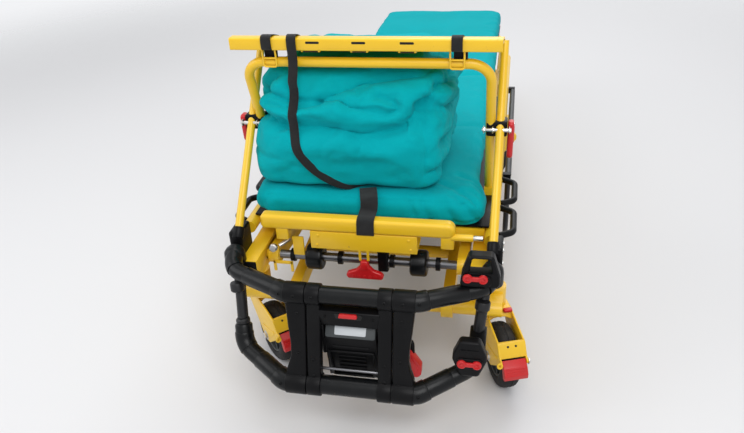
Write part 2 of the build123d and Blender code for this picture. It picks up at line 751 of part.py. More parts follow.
# Head section that slides in the channels and carries the load wheels
head_tube_end = overall_length - lower_handle_radius - head_tube_radius
head_tube_foot = channel_head - head_tube_inside
head_place = channel_outer - channel_width / 2
head_points = []
for sign in (-1, 1):
    run = [spot(sign * head_place, head_tube_foot, upper_axis_height),
           spot(sign * head_place, head_tube_end, upper_axis_height)]
    head_points += run if sign < 0 else run[::-1]
bent_tube(head_points, head_bend, head_tube_radius, "head_section_tube")
load_axis = (overall_length - load_wheel_setback, load_wheel_height)
bracket_top = upper_axis_height - head_tube_radius - face_gap
bracket_reach = load_wheel_width / 2 + bracket_gap
with BuildPart() as load_brackets:
    for sign in (-1, 1):
        for offset in (-bracket_reach, bracket_reach):
            with BuildSketch(side_plane(sign * load_wheel_place + offset)):
                with BuildLine():
                    Polyline((load_axis[0] - 20, load_axis[1] - 14), (load_axis[0] + 20, load_axis[1] - 14),
                             (head_tube_end + 10, bracket_top), (head_tube_end - 60, bracket_top), close=True)
                make_face()
            extrude(amount=load_bracket / 2, both=True)
        with BuildSketch(side_plane(sign * load_wheel_place)):
            with Locations(load_axis):
                Circle(axle_radius)
        extrude(amount=bracket_reach, both=True)
        box_between((sign * load_wheel_place - bracket_reach, head_tube_end - 50, bracket_top - 8),
                    (sign * load_wheel_place + bracket_reach, head_tube_end + 8, bracket_top))
finish(load_brackets, "load_wheel_brackets")
for side, sign in (("left", -1), ("right", 1)):
    with BuildPart() as load_wheel:
        with BuildSketch(side_plane(sign * load_wheel_place)):
            with Locations(load_axis):
                Circle(load_wheel_radius)
                Circle(axle_radius + face_gap, mode=Mode.SUBTRACT)
        extrude(amount=load_wheel_width / 2, both=True)
        chamfer(load_wheel.edges().filter_by(GeomType.CIRCLE).sort_by(SortBy.RADIUS)[-2:], 5)
    finish(load_wheel, f"load_wheel_{side}")
with BuildPart() as safety_bar:
    with BuildSketch(side_plane(0)):
        with Locations((load_axis[0] + 16, safety_height)):
            Circle(safety_radius)
    extrude(amount=load_wheel_place - bracket_reach - load_bracket / 2 - face_gap, both=True)
finish(safety_bar, "safety_bar")

# Hydraulic unit under the seat, hung from the cross members
with BuildPart() as unit:
    box_between((unit_side[0], unit_span[0], cross_bottom - face_gap - unit_height),
                (unit_side[1], unit_span[1], cross_bottom - face_gap))
    fillet(unit.edges().filter_by(Axis.Y), 20)
finish(unit, "hydraulic_unit")


def leg_outline(place, foot_end, head_end):
    """The side view of one leg: a straight bar with a round eye at each end."""
    angle = atan2(head_end[1] - foot_end[1], head_end[0] - foot_end[0])
    length = hypot(head_end[0] - foot_end[0], head_end[1] - foot_end[1])
    with BuildSketch(side_plane(place)) as outline:
        with Locations(Location((*cross_axis, 0), (0, 0, degrees(angle)))):
            Rectangle(length, leg_depth)
        for end in (foot_end, head_end):
            with Locations(end):
                Circle(lower_eye_radius if end[1] == lower_axis_height else upper_eye_radius)
    return outline.sketch


# Inner legs: foot-end wheels below, fixed shaft above
foot_low, head_high = (foot_axis, lower_axis_height), (head_axis, upper_axis_height)
foot_high, head_low = (foot_axis, upper_axis_height), (head_axis, lower_axis_height)
ear_root = (head_high[0] - cylinder_reach * cos(low_angle), head_high[1] - cylinder_reach * sin(low_angle))
ear_tip = (ear_root[0] + ear_drop * sin(low_angle), ear_root[1] - ear_drop * cos(low_angle))
brace_reach = 190.0
brace_root = (foot_low[0] + brace_reach * cos(low_angle), foot_low[1] + brace_reach * sin(low_angle))
ear_width = 14.0
with BuildPart() as inner_legs:
    for sign in (-1, 1):
        extrude(leg_outline(sign * inner_leg_place, foot_low, head_high), amount=inner_leg_width / 2, both=True)
    for root in (ear_root, brace_root):
        with BuildSketch(side_plane(0)):
            with Locations(root):
                Circle(cross_tube_radius)
        extrude(amount=inner_leg_place, both=True)
    for sign in (-1, 1):
        with BuildSketch(side_plane(sign * (ear_half + ear_plate / 2))):
            with BuildLine():
                Polyline((ear_root[0] - ear_width, ear_root[1]), (ear_root[0] + ear_width, ear_root[1]),
                         (ear_tip[0] + ear_width, ear_tip[1]), (ear_tip[0] - ear_width, ear_tip[1]), close=True)
            make_face()
            with Locations(ear_tip):
                Circle(ear_width)
        extrude(amount=ear_plate / 2, both=True)
    with BuildSketch(side_plane(0)):
        with Locations(foot_low):
            Circle(beam_radius + face_gap)
        with Locations(head_high):
            Circle(shaft_radius + face_gap)
        with Locations(cross_axis):
            Circle(pivot_radius + face_gap)
    extrude(amount=inner_leg_place + inner_leg_width, both=True, mode=Mode.SUBTRACT)
finish(inner_legs, "inner_legs")

# Outer legs: head-end wheels below, roller shaft in the channels above
with BuildPart() as outer_legs:
    for sign in (-1, 1):
        extrude(leg_outline(sign * outer_leg_place, foot_high, head_low), amount=outer_leg_width / 2, both=True)
    with BuildSketch(side_plane(0)):
        with Locations(head_low):
            Circle(beam_radius + face_gap)
    extrude(amount=outer_leg_place + outer_leg_width, both=True, mode=Mode.SUBTRACT)
    with BuildSketch(side_plane(0)):
        with Locations(foot_high):
            Circle(shaft_radius)
    roller_outer = channel_outer - channel_wall - 2 * face_gap
    extrude(amount=roller_outer, both=True)
    for sign in (-1, 1):
        with BuildSketch(side_plane(sign * inner_leg_place)):
            with Locations(cross_axis):
                Circle(pivot_radius)
        extrude(amount=sign * (outer_leg_place - inner_leg_place))
finish(outer_legs, "outer_legs")
roller_radius = channel_height / 2 - channel_wall - face_gap
with BuildPart() as rollers:
    for place, radius, half in ((roller_outer - roller_width / 2 - face_gap, roller_radius, roller_width / 2),
                                (bumper_place, bumper_radius, bumper_half)):
        for sign in (-1, 1):
            with BuildSketch(side_plane(sign * place)):
                with Locations(foot_high):
                    Circle(radius)
                    Circle(shaft_radius + face_gap, mode=Mode.SUBTRACT)
            extrude(amount=half, both=True)
    chamfer(rollers.edges().filter_by(GeomType.CIRCLE).group_by(SortBy.RADIUS)[-1], 4)
finish(rollers, "shaft_rollers")

# Lift cylinder: barrel hung from the litter, rod reaching the inner legs' ears
cylinder_angle = atan2(ear_tip[1] - cylinder_root[1], ear_tip[0] - cylinder_root[0])
closed_length = hypot(ear_tip[0] - cylinder_root[0], ear_tip[1] - cylinder_root[1])
barrel_length = closed_length - rod_showing
cylinder_start = Plane(origin=spot(0, *cylinder_root), z_dir=(0, cos(cylinder_angle), sin(cylinder_angle)))
with BuildPart() as barrel:
    with BuildSketch(cylinder_start.offset(neck_length)):
        Circle(barrel_radius)
    extrude(amount=barrel_length - neck_length)
    with BuildSketch(side_plane(0)):
        with Locations(cylinder_root):
            Circle(cylinder_eye_radius)
    extrude(amount=cylinder_eye_half, both=True)
    with BuildSketch(cylinder_start):
        Circle(neck_radius)
    extrude(amount=neck_length)
    with BuildSketch(side_plane(0)):
        with Locations(cylinder_root):
            Circle(pivot_radius + face_gap)
    extrude(amount=cylinder_eye_half, both=True, mode=Mode.SUBTRACT)
    with BuildSketch(cylinder_start.offset(2 * neck_length)):
        Circle(rod_radius + face_gap)
    extrude(amount=barrel_length, mode=Mode.SUBTRACT)
finish(barrel, "cylinder_barrel")
with BuildPart() as rod:
    with BuildSketch(cylinder_start.offset(rod_start)):
        Circle(rod_radius)
    extrude(amount=closed_length - rod_start)
    with BuildSketch(side_plane(0)):
        with Locations(ear_tip):
            Circle(cylinder_eye_radius)
    extrude(amount=cylinder_eye_half, both=True)
    with BuildSketch(side_plane(0)):
        with Locations(ear_tip):
            Circle(pivot_radius)
    extrude(amount=cylinder_eye_half, both=True, mode=Mode.SUBTRACT)
finish(rod, "cylinder_rod")

# Caster beams, level at every height, with an arm back to each caster's housing
housing_bottom = crown_height + 2
housing_cap = 8.0
arm_step = 4.0
caster_stations = {"foot": foot_axis + caster_setback, "head": head_axis - caster_setback}
for end, axis in (("foot", foot_axis), ("head", head_axis)):
    station = caster_stations[end]
    with BuildPart() as beam:
        with BuildSketch(side_plane(0)):
            with Locations((axis, lower_axis_height)):
                Circle(beam_radius)
        extrude(amount=caster_place + beam_radius, both=True)
        for sign in (-1, 1):
            box_between((sign * caster_place - beam_radius, min(axis, station), housing_bottom + arm_step),
                        (sign * caster_place + beam_radius, max(axis, station),
                         housing_bottom + housing_height - housing_cap))
            with BuildSketch(Plane.XY.offset(housing_bottom)):
                with Locations((sign * caster_place, along(station))):
                    Circle(housing_radius)
            extrude(amount=housing_height)
        for sign in (-1, 1):
            with BuildSketch(Plane.XY.offset(housing_bottom)):
                with Locations((sign * caster_place, along(station))):
                    Circle(stem_radius + face_gap)
            extrude(amount=housing_height - housing_cap, mode=Mode.SUBTRACT)
    finish(beam, f"{end}_caster_beam")

# Casters: name, side, axis from foot, heading of the trail in degrees from +X
caster_table = (("foot_left", -1, caster_stations["foot"], -47.0),
                ("foot_right", 1, caster_stations["foot"], -70.0),
                ("head_left", -1, caster_stations["head"], 110.0),
                ("head_right", 1, caster_stations["head"], 200.0))
arm_inner = wheel_width / 2 + moving_gap
arm_outer = arm_inner + fork_plate
crown_back = -caster_trail - crown_half
crown_top = crown_height - wheel_radius
for name, sign, axis, heading in caster_table:
    trail = Vector(cos(radians(heading)), sin(radians(heading)), 0)
    axle_way = (trail.Y, -trail.X, 0)
    stem_foot = Vector(sign * caster_place, along(axis), 0)
    hub = stem_foot + trail * caster_trail + Vector(0, 0, wheel_radius)
    wheel_plane = Plane(origin=hub, x_dir=trail, z_dir=axle_way)
    with BuildPart() as fork:
        for way in (-1, 1):
            with BuildSketch(wheel_plane.offset(way * (arm_inner + fork_plate / 2))):
                with BuildLine():
                    Polyline((crown_back, crown_top), (crown_back + 2 * crown_half, crown_top), *fork_nose,
                             (lug_place[0], lug_place[1] + lug_radius), (lug_place[0], lug_place[1] - lug_radius),
                             (boss_radius - 2, -boss_radius),
                             (2 - boss_radius, -boss_radius), (crown_back, crown_top - 18), close=True)
                make_face()
                with Locations(lug_place):
                    Circle(lug_radius)
            extrude(amount=fork_plate / 2, both=True)
        with BuildSketch(Plane(origin=stem_foot + Vector(0, 0, crown_height), x_dir=trail, z_dir=(0, 0, 1))):
            Rectangle(2 * crown_half, 2 * arm_outer)
        extrude(amount=-6)
        for upper, lower in (crown_lip, fork_nose):
            inward = Vector(lower[1] - upper[1], upper[0] - lower[0]).normalized() * fork_plate
            with BuildSketch(wheel_plane):
                with BuildLine():
                    Polyline(upper, lower, (lower[0] + inward.X, lower[1] + inward.Y),
                             (upper[0] + inward.X, upper[1] + inward.Y), close=True)
                make_face()
            extrude(amount=arm_outer, both=True)
        with BuildSketch(wheel_plane):
            Circle(axle_radius)
        extrude(amount=arm_outer, both=True)
        with BuildSketch(Plane.XY.offset(crown_height - 1)):
            with Locations((stem_foot.X, stem_foot.Y)):
                Circle(stem_radius)
        extrude(amount=housing_height - housing_cap - 2)
    finish(fork, f"caster_fork_{name}")
    with BuildPart() as pedal:
        with BuildSketch(wheel_plane):
            with BuildLine():
                Polyline((fork_nose[1][0] + face_gap, fork_nose[1][1]), *pedal_outline, close=True)
            make_face()
        extrude(amount=arm_inner - face_gap, both=True)
    finish(pedal, f"brake_pedal_{name}")
    with BuildPart() as wheel:
        with BuildSketch(wheel_plane):
            Circle(wheel_radius)
            Circle(axle_radius + face_gap, mode=Mode.SUBTRACT)
        extrude(amount=wheel_width / 2, both=True)
        chamfer(wheel.edges().filter_by(GeomType.CIRCLE).group_by(SortBy.RADIUS)[-1], *wheel_corner)
        for way in (-1, 1):
            with BuildSketch(wheel_plane.offset(way * wheel_width / 2)):
                Circle(rim_radius)
                Circle(hub_radius, mode=Mode.SUBTRACT)
            extrude(amount=-way * rim_recess, mode=Mode.SUBTRACT)
    finish(wheel, f"caster_wheel_{name}")
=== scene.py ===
import json
from math import cos, pi, radians, sin, tan

import bmesh
import bpy
import numpy as np
from mathutils import Matrix, Vector, noise
from mathutils.bvhtree import BVHTree

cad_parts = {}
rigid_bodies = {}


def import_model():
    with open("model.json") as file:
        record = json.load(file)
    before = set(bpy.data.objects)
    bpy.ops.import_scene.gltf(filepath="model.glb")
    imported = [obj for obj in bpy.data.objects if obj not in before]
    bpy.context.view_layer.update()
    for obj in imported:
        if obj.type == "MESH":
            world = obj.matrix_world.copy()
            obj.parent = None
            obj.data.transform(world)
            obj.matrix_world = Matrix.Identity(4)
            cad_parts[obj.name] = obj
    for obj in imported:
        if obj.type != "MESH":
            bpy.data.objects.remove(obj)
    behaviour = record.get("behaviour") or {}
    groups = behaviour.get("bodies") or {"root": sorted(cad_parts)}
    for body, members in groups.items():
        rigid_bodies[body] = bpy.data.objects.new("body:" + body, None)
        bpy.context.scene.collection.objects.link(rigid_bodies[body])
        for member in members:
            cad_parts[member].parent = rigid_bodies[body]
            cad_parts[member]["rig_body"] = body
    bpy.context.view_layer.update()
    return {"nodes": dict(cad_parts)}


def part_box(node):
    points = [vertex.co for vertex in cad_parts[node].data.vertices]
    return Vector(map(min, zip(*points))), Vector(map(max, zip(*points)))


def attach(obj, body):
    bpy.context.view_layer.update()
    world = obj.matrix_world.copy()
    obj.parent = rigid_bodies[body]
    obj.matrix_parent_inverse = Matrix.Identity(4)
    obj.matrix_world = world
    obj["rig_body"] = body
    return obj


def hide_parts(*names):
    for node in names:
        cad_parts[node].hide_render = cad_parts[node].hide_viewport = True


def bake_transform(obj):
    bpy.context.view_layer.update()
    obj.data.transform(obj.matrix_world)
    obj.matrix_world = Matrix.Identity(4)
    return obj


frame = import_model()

# Places are millimetres: across, from the middle of the lower lift handle's front bar, and up
MM = 0.001
FOOT_LINE = -1010.0
nodes = frame["nodes"]
BOTH = (-1, 1)


def row(point):
    """A place in the frame, in metres."""
    return Vector((point[0] * MM, (point[1] + FOOT_LINE) * MM, point[2] * MM))


# Finishes

class Wire:
    """A number that changes over a surface. Sums on it add Math nodes."""

    def __init__(self, finish, socket):
        self.finish, self.socket = finish, socket

    def maths(self, operation, first, second):
        return self.finish.node("ShaderNodeMath", {"operation": operation}, {0: first, 1: second})

    def __add__(self, other):
        return self.maths("ADD", self, other)

    def __sub__(self, other):
        return self.maths("SUBTRACT", self, other)

    def __rsub__(self, other):
        return self.maths("SUBTRACT", other, self)

    def __mul__(self, other):
        return self.maths("MULTIPLY", self, other)

    __radd__ = __add__
    __rmul__ = __mul__


class Nodes:
    """A node tree, built one node at a time."""

    def __init__(self, tree):
        self.tree = tree

    def node(self, kind, settings, inputs, output=0):
        made = self.tree.nodes.new(kind)
        for key, value in settings.items():
            setattr(made, key, value)
        for key, value in inputs.items():
            if isinstance(value, Wire):
                self.tree.links.new(value.socket, made.inputs[key])
            else:
                made.inputs[key].default_value = value
        return Wire(self, made.outputs[output])


class Finish(Nodes):
    """One surface finish, built round a single shader."""

    def __init__(self, name, colour, **constants):
        self.material = bpy.data.materials.new(name)
        self.material.use_nodes = True
        super().__init__(self.material.node_tree)
        self.shader = self.tree.nodes["Principled BSDF"]
        self.colour = (*colour, 1.0)
        self.shader.inputs["Base Color"].default_value = self.colour
        self.material.diffuse_color = self.colour
        for key, value in constants.items():
            self.shader.inputs[key.replace("_", " ").title().replace("Ior", "IOR")].default_value = value
        self.relief = None

    def place(self, stretch=(1, 1, 1)):
        """The place on the piece, in metres, times a stretch along each axis."""
        where = self.node("ShaderNodeTexCoord", {}, {}, "Object")
        return self.node("ShaderNodeVectorMath", {"operation": "MULTIPLY"}, {0: where, 1: stretch})

    def grain(self, size, detail=2.0, stretch=(1, 1, 1)):
        """Noise whose blotches are about size metres across."""
        return self.node("ShaderNodeTexNoise", {}, {"Vector": self.place(stretch), "Scale": 1 / size,
                                                    "Detail": detail})

    def span(self, value, low, high):
        """The value's share of the way from low to high, kept within 0 and 1."""
        return self.node("ShaderNodeMapRange", {"interpolation_type": "SMOOTHSTEP"},
                         {"Value": value, "From Min": low, "From Max": high})

    def shade(self, share, colour):
        """Goes over to another colour by a share."""
        now = self.shader.inputs["Base Color"]
        before = Wire(self, now.links[0].from_socket) if now.is_linked else self.colour
        mixed = self.node("ShaderNodeMix", {"data_type": "RGBA"}, {0: share, 6: before, 7: (*colour, 1.0)}, 2)
        self.tree.links.new(mixed.socket, now)

    def drive(self, key, value):
        self.tree.links.new(value.socket, self.shader.inputs[key])

    def bump(self, height, depth, strength=1.0):
        """Adds relief of a depth in metres."""
        inputs = {"Height": height, "Distance": depth, "Strength": strength}
        if self.relief:
            inputs["Normal"] = self.relief
        self.relief = self.node("ShaderNodeBump", {}, inputs)
        self.tree.links.new(self.relief.socket, self.shader.inputs["Normal"])

    def threads(self, pitch, axis, twist=0.0):
        """Parallel ridges with a pitch in metres across one direction, a weight for each axis."""
        size = 2 * pi / pitch
        along = self.node("ShaderNodeVectorMath", {"operation": "DOT_PRODUCT"},
                          {0: self.place(), 1: tuple(size * a for a in axis)}, "Value")
        if twist:
            along = along + self.grain(0.03) * twist
        return self.node("ShaderNodeMath", {"operation": "SINE"}, {0: along})


def powder_coat(name, colour, worn, gloss=0.3, shine=0.5):
    """Powder coat: fine orange peel, a little dust, and scuffs down to a duller colour."""
    coat = Finish(name, colour, roughness=gloss, coat_weight=0.3 * shine, coat_roughness=0.25,
                  specular_ior_level=shine)
    coat.shade(coat.span(coat.grain(0.16, 4.0), 0.35, 0.75) * 0.35, tuple(0.82 * c for c in colour))
    scratches = coat.span(coat.grain(0.011, 6.0, (1, 0.25, 1)), 0.66, 0.72)
    scuffs = scratches * coat.span(coat.grain(0.09), 0.5, 0.62)
    coat.shade(scuffs * 0.7, worn)
    coat.drive("Roughness", gloss + 0.12 * coat.grain(0.04, 3.0) + 0.25 * scuffs)
    coat.bump(coat.grain(0.0016, 1.0), 0.00006)
    coat.bump(coat.span(scuffs, 0.0, 1.0), 0.00005)
    return coat.material


def moulding(name, colour, gloss, pebble=0.0009, depth=0.00008, dust=(0.09, 0.088, 0.085), dusty=0.07,
             shine=0.3):
    """Moulded plastic or rubber: pebbled skin, handling marks and a film of dust."""
    skin = Finish(name, colour, roughness=gloss, specular_ior_level=shine)
    skin.shade(skin.span(skin.grain(0.05, 5.0), 0.45, 0.8) * dusty, dust)
    marks = skin.span(skin.grain(0.004, 3.0, (1, 0.12, 1)), 0.68, 0.76)
    skin.shade(marks * 0.25, tuple(c + 0.03 for c in colour))
    skin.drive("Roughness", (gloss - 0.05) + 0.16 * skin.grain(0.02, 4.0) + 0.1 * marks)
    skin.bump(skin.grain(pebble, 2.0), depth)
    return skin.material


def woven(name, colour, dark, pitch, sheen):
    """Cotton cloth: warp and weft, slubs, a soft sheen and slight shading from washing."""
    cloth = Finish(name, colour, roughness=0.85, sheen_weight=sheen, sheen_roughness=0.45,
                   specular_ior_level=0.08)
    warp = cloth.threads(pitch, (1, 0.2, 0.2), 0.5)
    weft = cloth.threads(pitch * 1.1, (0.15, 1, 1), 0.5)
    slubs = cloth.grain(0.0025, 3.0, (1, 0.2, 0.2))
    weave = warp * weft * 0.5 + 0.5
    cloth.shade(cloth.span(cloth.grain(0.12, 4.0), 0.3, 0.75) * 0.4, dark)
    cloth.shade(weave * 0.18 + cloth.span(slubs, 0.6, 0.8) * 0.12, tuple(0.6 * c for c in dark))
    cloth.drive("Roughness", 0.8 + 0.12 * cloth.grain(0.01, 2.0))
    cloth.bump(weave + 0.6 * slubs, 0.00022)
    cloth.bump(cloth.grain(0.014, 4.0), 0.0009, 0.6)
    return cloth.material


def brushed(name, colour, gloss):
    """Steel, brushed along its length, with faint stains."""
    steel = Finish(name, colour, metallic=1.0, roughness=gloss)
    lines = steel.grain(0.0012, 4.0, (0.05, 1, 1))
    steel.shade(steel.span(steel.grain(0.03, 5.0), 0.5, 0.8) * 0.3, tuple(0.55 * c for c in colour))
    steel.drive("Roughness", (gloss - 0.08) + 0.2 * lines)
    steel.bump(lines, 0.00003)
    return steel.material


def tyre_finish():
    """Worn wheel rubber: grey dust on the tread, fine grit in the skin."""
    rubber = Finish("tyre_rubber", (0.013, 0.013, 0.0135), roughness=0.75, specular_ior_level=0.3)
    rubber.shade(rubber.span(rubber.grain(0.02, 6.0), 0.4, 0.75) * 0.5, (0.045, 0.043, 0.04))
    rubber.shade(rubber.span(rubber.grain(0.003, 3.0), 0.66, 0.74) * 0.3, (0.09, 0.085, 0.08))
    rubber.drive("Roughness", 0.65 + 0.25 * rubber.grain(0.012, 3.0))
    rubber.bump(rubber.grain(0.0012, 4.0), 0.00018)
    return rubber.material


def webbing_finish(name, colour):
    """Belt webbing: ribs across the belt, read from the distance along it, and a fuzzy sheen."""
    web = Finish(name, colour, roughness=0.7, sheen_weight=0.08, sheen_roughness=0.4, specular_ior_level=0.3)
    along = web.node("ShaderNodeAttribute", {"attribute_name": "along"}, {}, "Fac")
    across = web.node("ShaderNodeAttribute", {"attribute_name": "across"}, {}, "Fac")
    ribs = web.node("ShaderNodeMath", {"operation": "SINE"}, {0: along * (2 * pi / 0.0021)})
    twill = web.node("ShaderNodeMath", {"operation": "SINE"}, {0: (along + across) * (2 * pi / 0.0034)})
    web.shade(web.span(ribs, -0.2, 0.9) * 0.35, tuple(2.2 * c + 0.01 for c in colour))
    web.shade(web.span(web.grain(0.03, 4.0), 0.5, 0.8) * 0.25, (0.035, 0.035, 0.035))
    web.drive("Roughness", 0.62 + 0.2 * web.grain(0.006, 3.0))
    web.bump(ribs + 0.5 * twill, 0.00035)
    return web.material


YELLOW = (0.89, 0.55, 0.016)
finishes = {
    "yellow_paint": powder_coat("yellow_powder_coat", YELLOW, (0.55, 0.33, 0.05)),
    "black_paint": powder_coat("satin_black_paint", (0.010, 0.010, 0.011), (0.05, 0.05, 0.048), 0.36, 0.3),
    "black_rubber_grip": moulding("grip_rubber", (0.0035, 0.004, 0.0045), 0.27, dusty=0.025, shine=0.22),
    "black_plastic": moulding("black_moulding", (0.0035, 0.0035, 0.004), 0.34, dusty=0.03, shine=0.13),
    "grey_plastic": moulding("grey_moulding", (0.05, 0.056, 0.058), 0.42),
    "red_plastic": moulding("red_moulding", (0.56, 0.012, 0.014), 0.3, 0.0014, 0.00005,
                            (0.35, 0.05, 0.04), 0.25, 0.45),
    "bright_steel": brushed("bright_steel", (0.62, 0.61, 0.59), 0.3),
    "teal_cloth": woven("mattress_sheet", (0.0005, 0.41, 0.46), (0.0005, 0.33, 0.37), 0.0013, 0.015),
    "teal_bedding": woven("quilt_cover", (0.0005, 0.43, 0.48), (0.0005, 0.345, 0.385), 0.0011, 0.015),
    "tyre_rubber": tyre_finish(),
}
webbing = webbing_finish("belt_webbing", (0.008, 0.008, 0.0085))
pale_plate = moulding("pale_plate", (0.55, 0.58, 0.60), 0.35, dusty=0.1)
# near-black for thin sheets and discs that paint the shade inside slots, holes and recesses
painted_hole_shade = moulding("painted_hole_shade", (0.008, 0.008, 0.008), 0.6)
dark_steel = brushed("dark_steel", (0.20, 0.20, 0.21), 0.32)
tray_mat = moulding("tray_mat", (0.014, 0.014, 0.015), 0.55, 0.002, 0.0003)


def painted(slot):
    return finishes[slot]


for node in nodes.values():
    for place in node.material_slots:
        place.material = painted(place.material.name)


# Shapes

def bent(points, radius, steps=8):
    """A run of points with each corner rounded."""
    points = [Vector(p) for p in points]
    path = [points[0]]
    for before, corner, after in zip(points, points[1:], points[2:]):
        back, on = before - corner, after - corner
        near = 0.48 * min(back.length, on.length)
        back.normalize()
        on.normalize()
        half = back.angle(on) / 2
        reach = min(radius / tan(half), near)
        if half > 1.55:
            path.append(corner)
            continue
        centre = corner + (back + on).normalized() * (reach / cos(half))
        start, end = corner + back * reach - centre, corner + on * reach - centre
        turn = start.angle(end)
        for i in range(steps + 1):
            share = i / steps
            path.append(centre + (start * sin((1 - share) * turn) + end * sin(share * turn)) / sin(turn))
    path.append(points[-1])
    return path


def stretch_of(path, start, end):
    """The part of a path between two distances along it; below 0 counts from its far end."""
    steps = [(b - a).length for a, b in zip(path, path[1:])]
    whole = sum(steps)
    start, end = (whole + d if d < 0 else d for d in (start, end))
    cut, gone = [], 0.0
    for a, b, step in zip(path, path[1:], steps):
        for mark in (start, end):
            if gone <= mark < gone + step:
                cut.append(a.lerp(b, (mark - gone) / step))
        if start < gone + step < end:
            cut.append(b)
        gone += step
    return cut


def circle(radius, sides):
    return [(radius * cos(2 * pi * i / sides), radius * sin(2 * pi * i / sides)) for i in range(sides)]


def soft_corners(outline, radius, steps=4):
    """A flat outline with its corners rounded."""
    loop = [(*p, 0) for p in outline]
    loop = [tuple((a + b) / 2 for a, b in zip(loop[-1], loop[0])), *loop,
            tuple((a + b) / 2 for a, b in zip(loop[-1], loop[0]))]
    return [(p.x, p.y) for p in bent(loop, radius, steps)[:-1]]


def taper(low_half, low, high_half, high):
    """An outline between two levels, with its half width at each."""
    return [(-low_half, low), (low_half, low), (high_half, high), (-high_half, high)]


def square_to(way, over=None):
    """The direction square to a way that is nearest to over, or else to up."""
    if over is None:
        over = Vector((0, 0, 1) if abs(way.z) < 0.9 else (0, 1, 0))
    return (over - way * over.dot(way)).normalized()


def turning(path, loop):
    """Two directions square to a path at each point, turned as little as possible."""
    count = len(path)
    over = None
    pairs = []
    for i in range(count):
        before = path[i - 1] if loop or i else path[0]
        after = path[(i + 1) % count] if loop or i < count - 1 else path[-1]
        way = (after - before).normalized()
        over = square_to(way, over)
        pairs.append((over.cross(way), over))
    return pairs


class Form:
    """Faces between points, each with the number of its finish."""

    def __init__(self):
        self.points, self.faces, self.paints = [], [], []

    def add(self, points, faces, paint=0):
        first = len(self.points)
        self.points += [tuple(p) for p in points]
        self.faces += [[first + i for i in face] for face in faces]
        self.paints += [paint] * len(faces)
        return self

    def skin(self, rows, paint=0, loop=False):
        """Joins rings of points into a skin, with a face over each end."""
        sides, count = len(rows[0]), len(rows)
        faces = []
        for i in range(count if loop else count - 1):
            a, b = i * sides, (i + 1) % count * sides
            faces += [(a + j, a + (j + 1) % sides, b + (j + 1) % sides, b + j) for j in range(sides)]
        if not loop:
            faces += [tuple(range(sides))[::-1], tuple((count - 1) * sides + j for j in range(sides))]
        return self.add([p for ring in rows for p in ring], faces, paint)

    def sweep(self, path, outline, paint=0, sizes=None, loop=False):
        """Draws an outline along a path."""
        path = [Vector(p) for p in path]
        sizes = sizes or [1] * len(path)
        rows = [[p + side * (a * size) + over * (b * size) for a, b in outline]
                for p, size, (side, over) in zip(path, sizes, turning(path, loop))]
        return self.skin(rows, paint, loop)

    def tube(self, path, radius, paint=0, sides=28, rounding=1.5):
        """A round bar along a path, with softened ends."""
        path = [Vector(p) for p in path]
        ends = []
        for end, inner in ((path[0], path[1]), (path[-1], path[-2])):
            way = (inner - end).normalized()
            ends.append([end, end + way * 0.3 * rounding, end + way * rounding])
        worn = [1 - rounding / radius, 1 - 0.3 * rounding / radius, 1]
        run = ends[0] + path[1:-1] + ends[1][::-1]
        return self.sweep(run, circle(radius, sides), paint, worn + [1] * (len(path) - 2) + worn[::-1])

    def turned(self, profile, origin, axis, paint=0, sides=40, loop=False):
        """Turns pairs of place along the axis and radius about it."""
        origin, axis = Vector(origin), Vector(axis).normalized()
        over = square_to(axis)
        side = over.cross(axis)
        rows = [[origin + axis * a + side * x + over * y for x, y in circle(max(r, 0.02), sides)]
                for a, r in profile]
        return self.skin(rows, paint, loop)

    def plate(self, outline, origin, across, up, thickness, paint=0, soft=1.0, segments=2):
        """A flat outline given thickness, middled on its plane, with softened edges."""
        across, up = Vector(across).normalized(), Vector(up).normalized()
        out = across.cross(up) * (thickness / 2)
        solid = bmesh.new()
        ends = [[solid.verts.new(Vector(origin) + across * a + up * b + out * way) for a, b in outline]
                for way in BOTH]
        count = len(outline)
        solid.faces.new(ends[0][::-1])
        solid.faces.new(ends[1])
        for i in range(count):
            j = (i + 1) % count
            solid.faces.new((ends[0][i], ends[0][j], ends[1][j], ends[1][i]))
        solid.normal_update()
        self.soften(solid, soft, segments)
        return self.absorb(solid, paint)

    def front(self, outline, origin, thickness, paint=0, soft=1.0, segments=2):
        """A plate that faces the foot end."""
        return self.plate(outline, origin, (1, 0, 0), (0, 0, 1), thickness, paint, soft, segments)

    def soften(self, solid, width, segments):
        hard = [e for e in solid.edges if len(e.link_faces) == 2 and e.calc_face_angle(0) > radians(28)]
        if hard and width:
            bmesh.ops.bevel(solid, geom=hard, offset=width, segments=segments, profile=0.5,
                            affect="EDGES", clamp_overlap=True)

    def absorb(self, solid, paint):
        solid.verts.index_update()
        self.add([v.co for v in solid.verts], [[v.index for v in f.verts] for f in solid.faces], paint)
        solid.free()
        return self

    def block(self, low, high, paint=0, soft=1.5, segments=2):
        """A box between two corners with softened edges."""
        middle = [(a + b) / 2 for a, b in zip(low, high)]
        x, y, z = ((b - a) / 2 for a, b in zip(low, high))
        return self.front(taper(x, -z, x, z), middle, 2 * y, paint, soft, segments)

    def bolt(self, origin, axis, radius, height):
        """A button-head screw with a hollow for its key, standing out along the axis."""
        profile = [(-0.4, radius), (0, radius), (0.5 * height, 0.96 * radius), (0.85 * height, 0.7 * radius),
                   (height, 0.5 * radius), (height, 0.42 * radius), (0.45 * height, 0.4 * radius)]
        return self.turned(profile, origin, axis, 0, 18)

    def nut(self, origin, axis, radius, height):
        """A hexagon nut on a washer."""
        self.turned([(0, 1.45 * radius), (1.2, 1.45 * radius), (1.5, 1.4 * radius)], origin, axis, 0, 28)
        flats = [(1.2, radius), (height, radius), (height + 0.8, 0.85 * radius)]
        return self.turned(flats, origin, axis, 0, 6)


def crisp(mesh, angle=32):
    """Smooth shading that keeps true edges."""
    mesh.polygons.foreach_set("use_smooth", [True] * len(mesh.polygons))
    mesh.set_sharp_from_angle(angle=radians(angle))


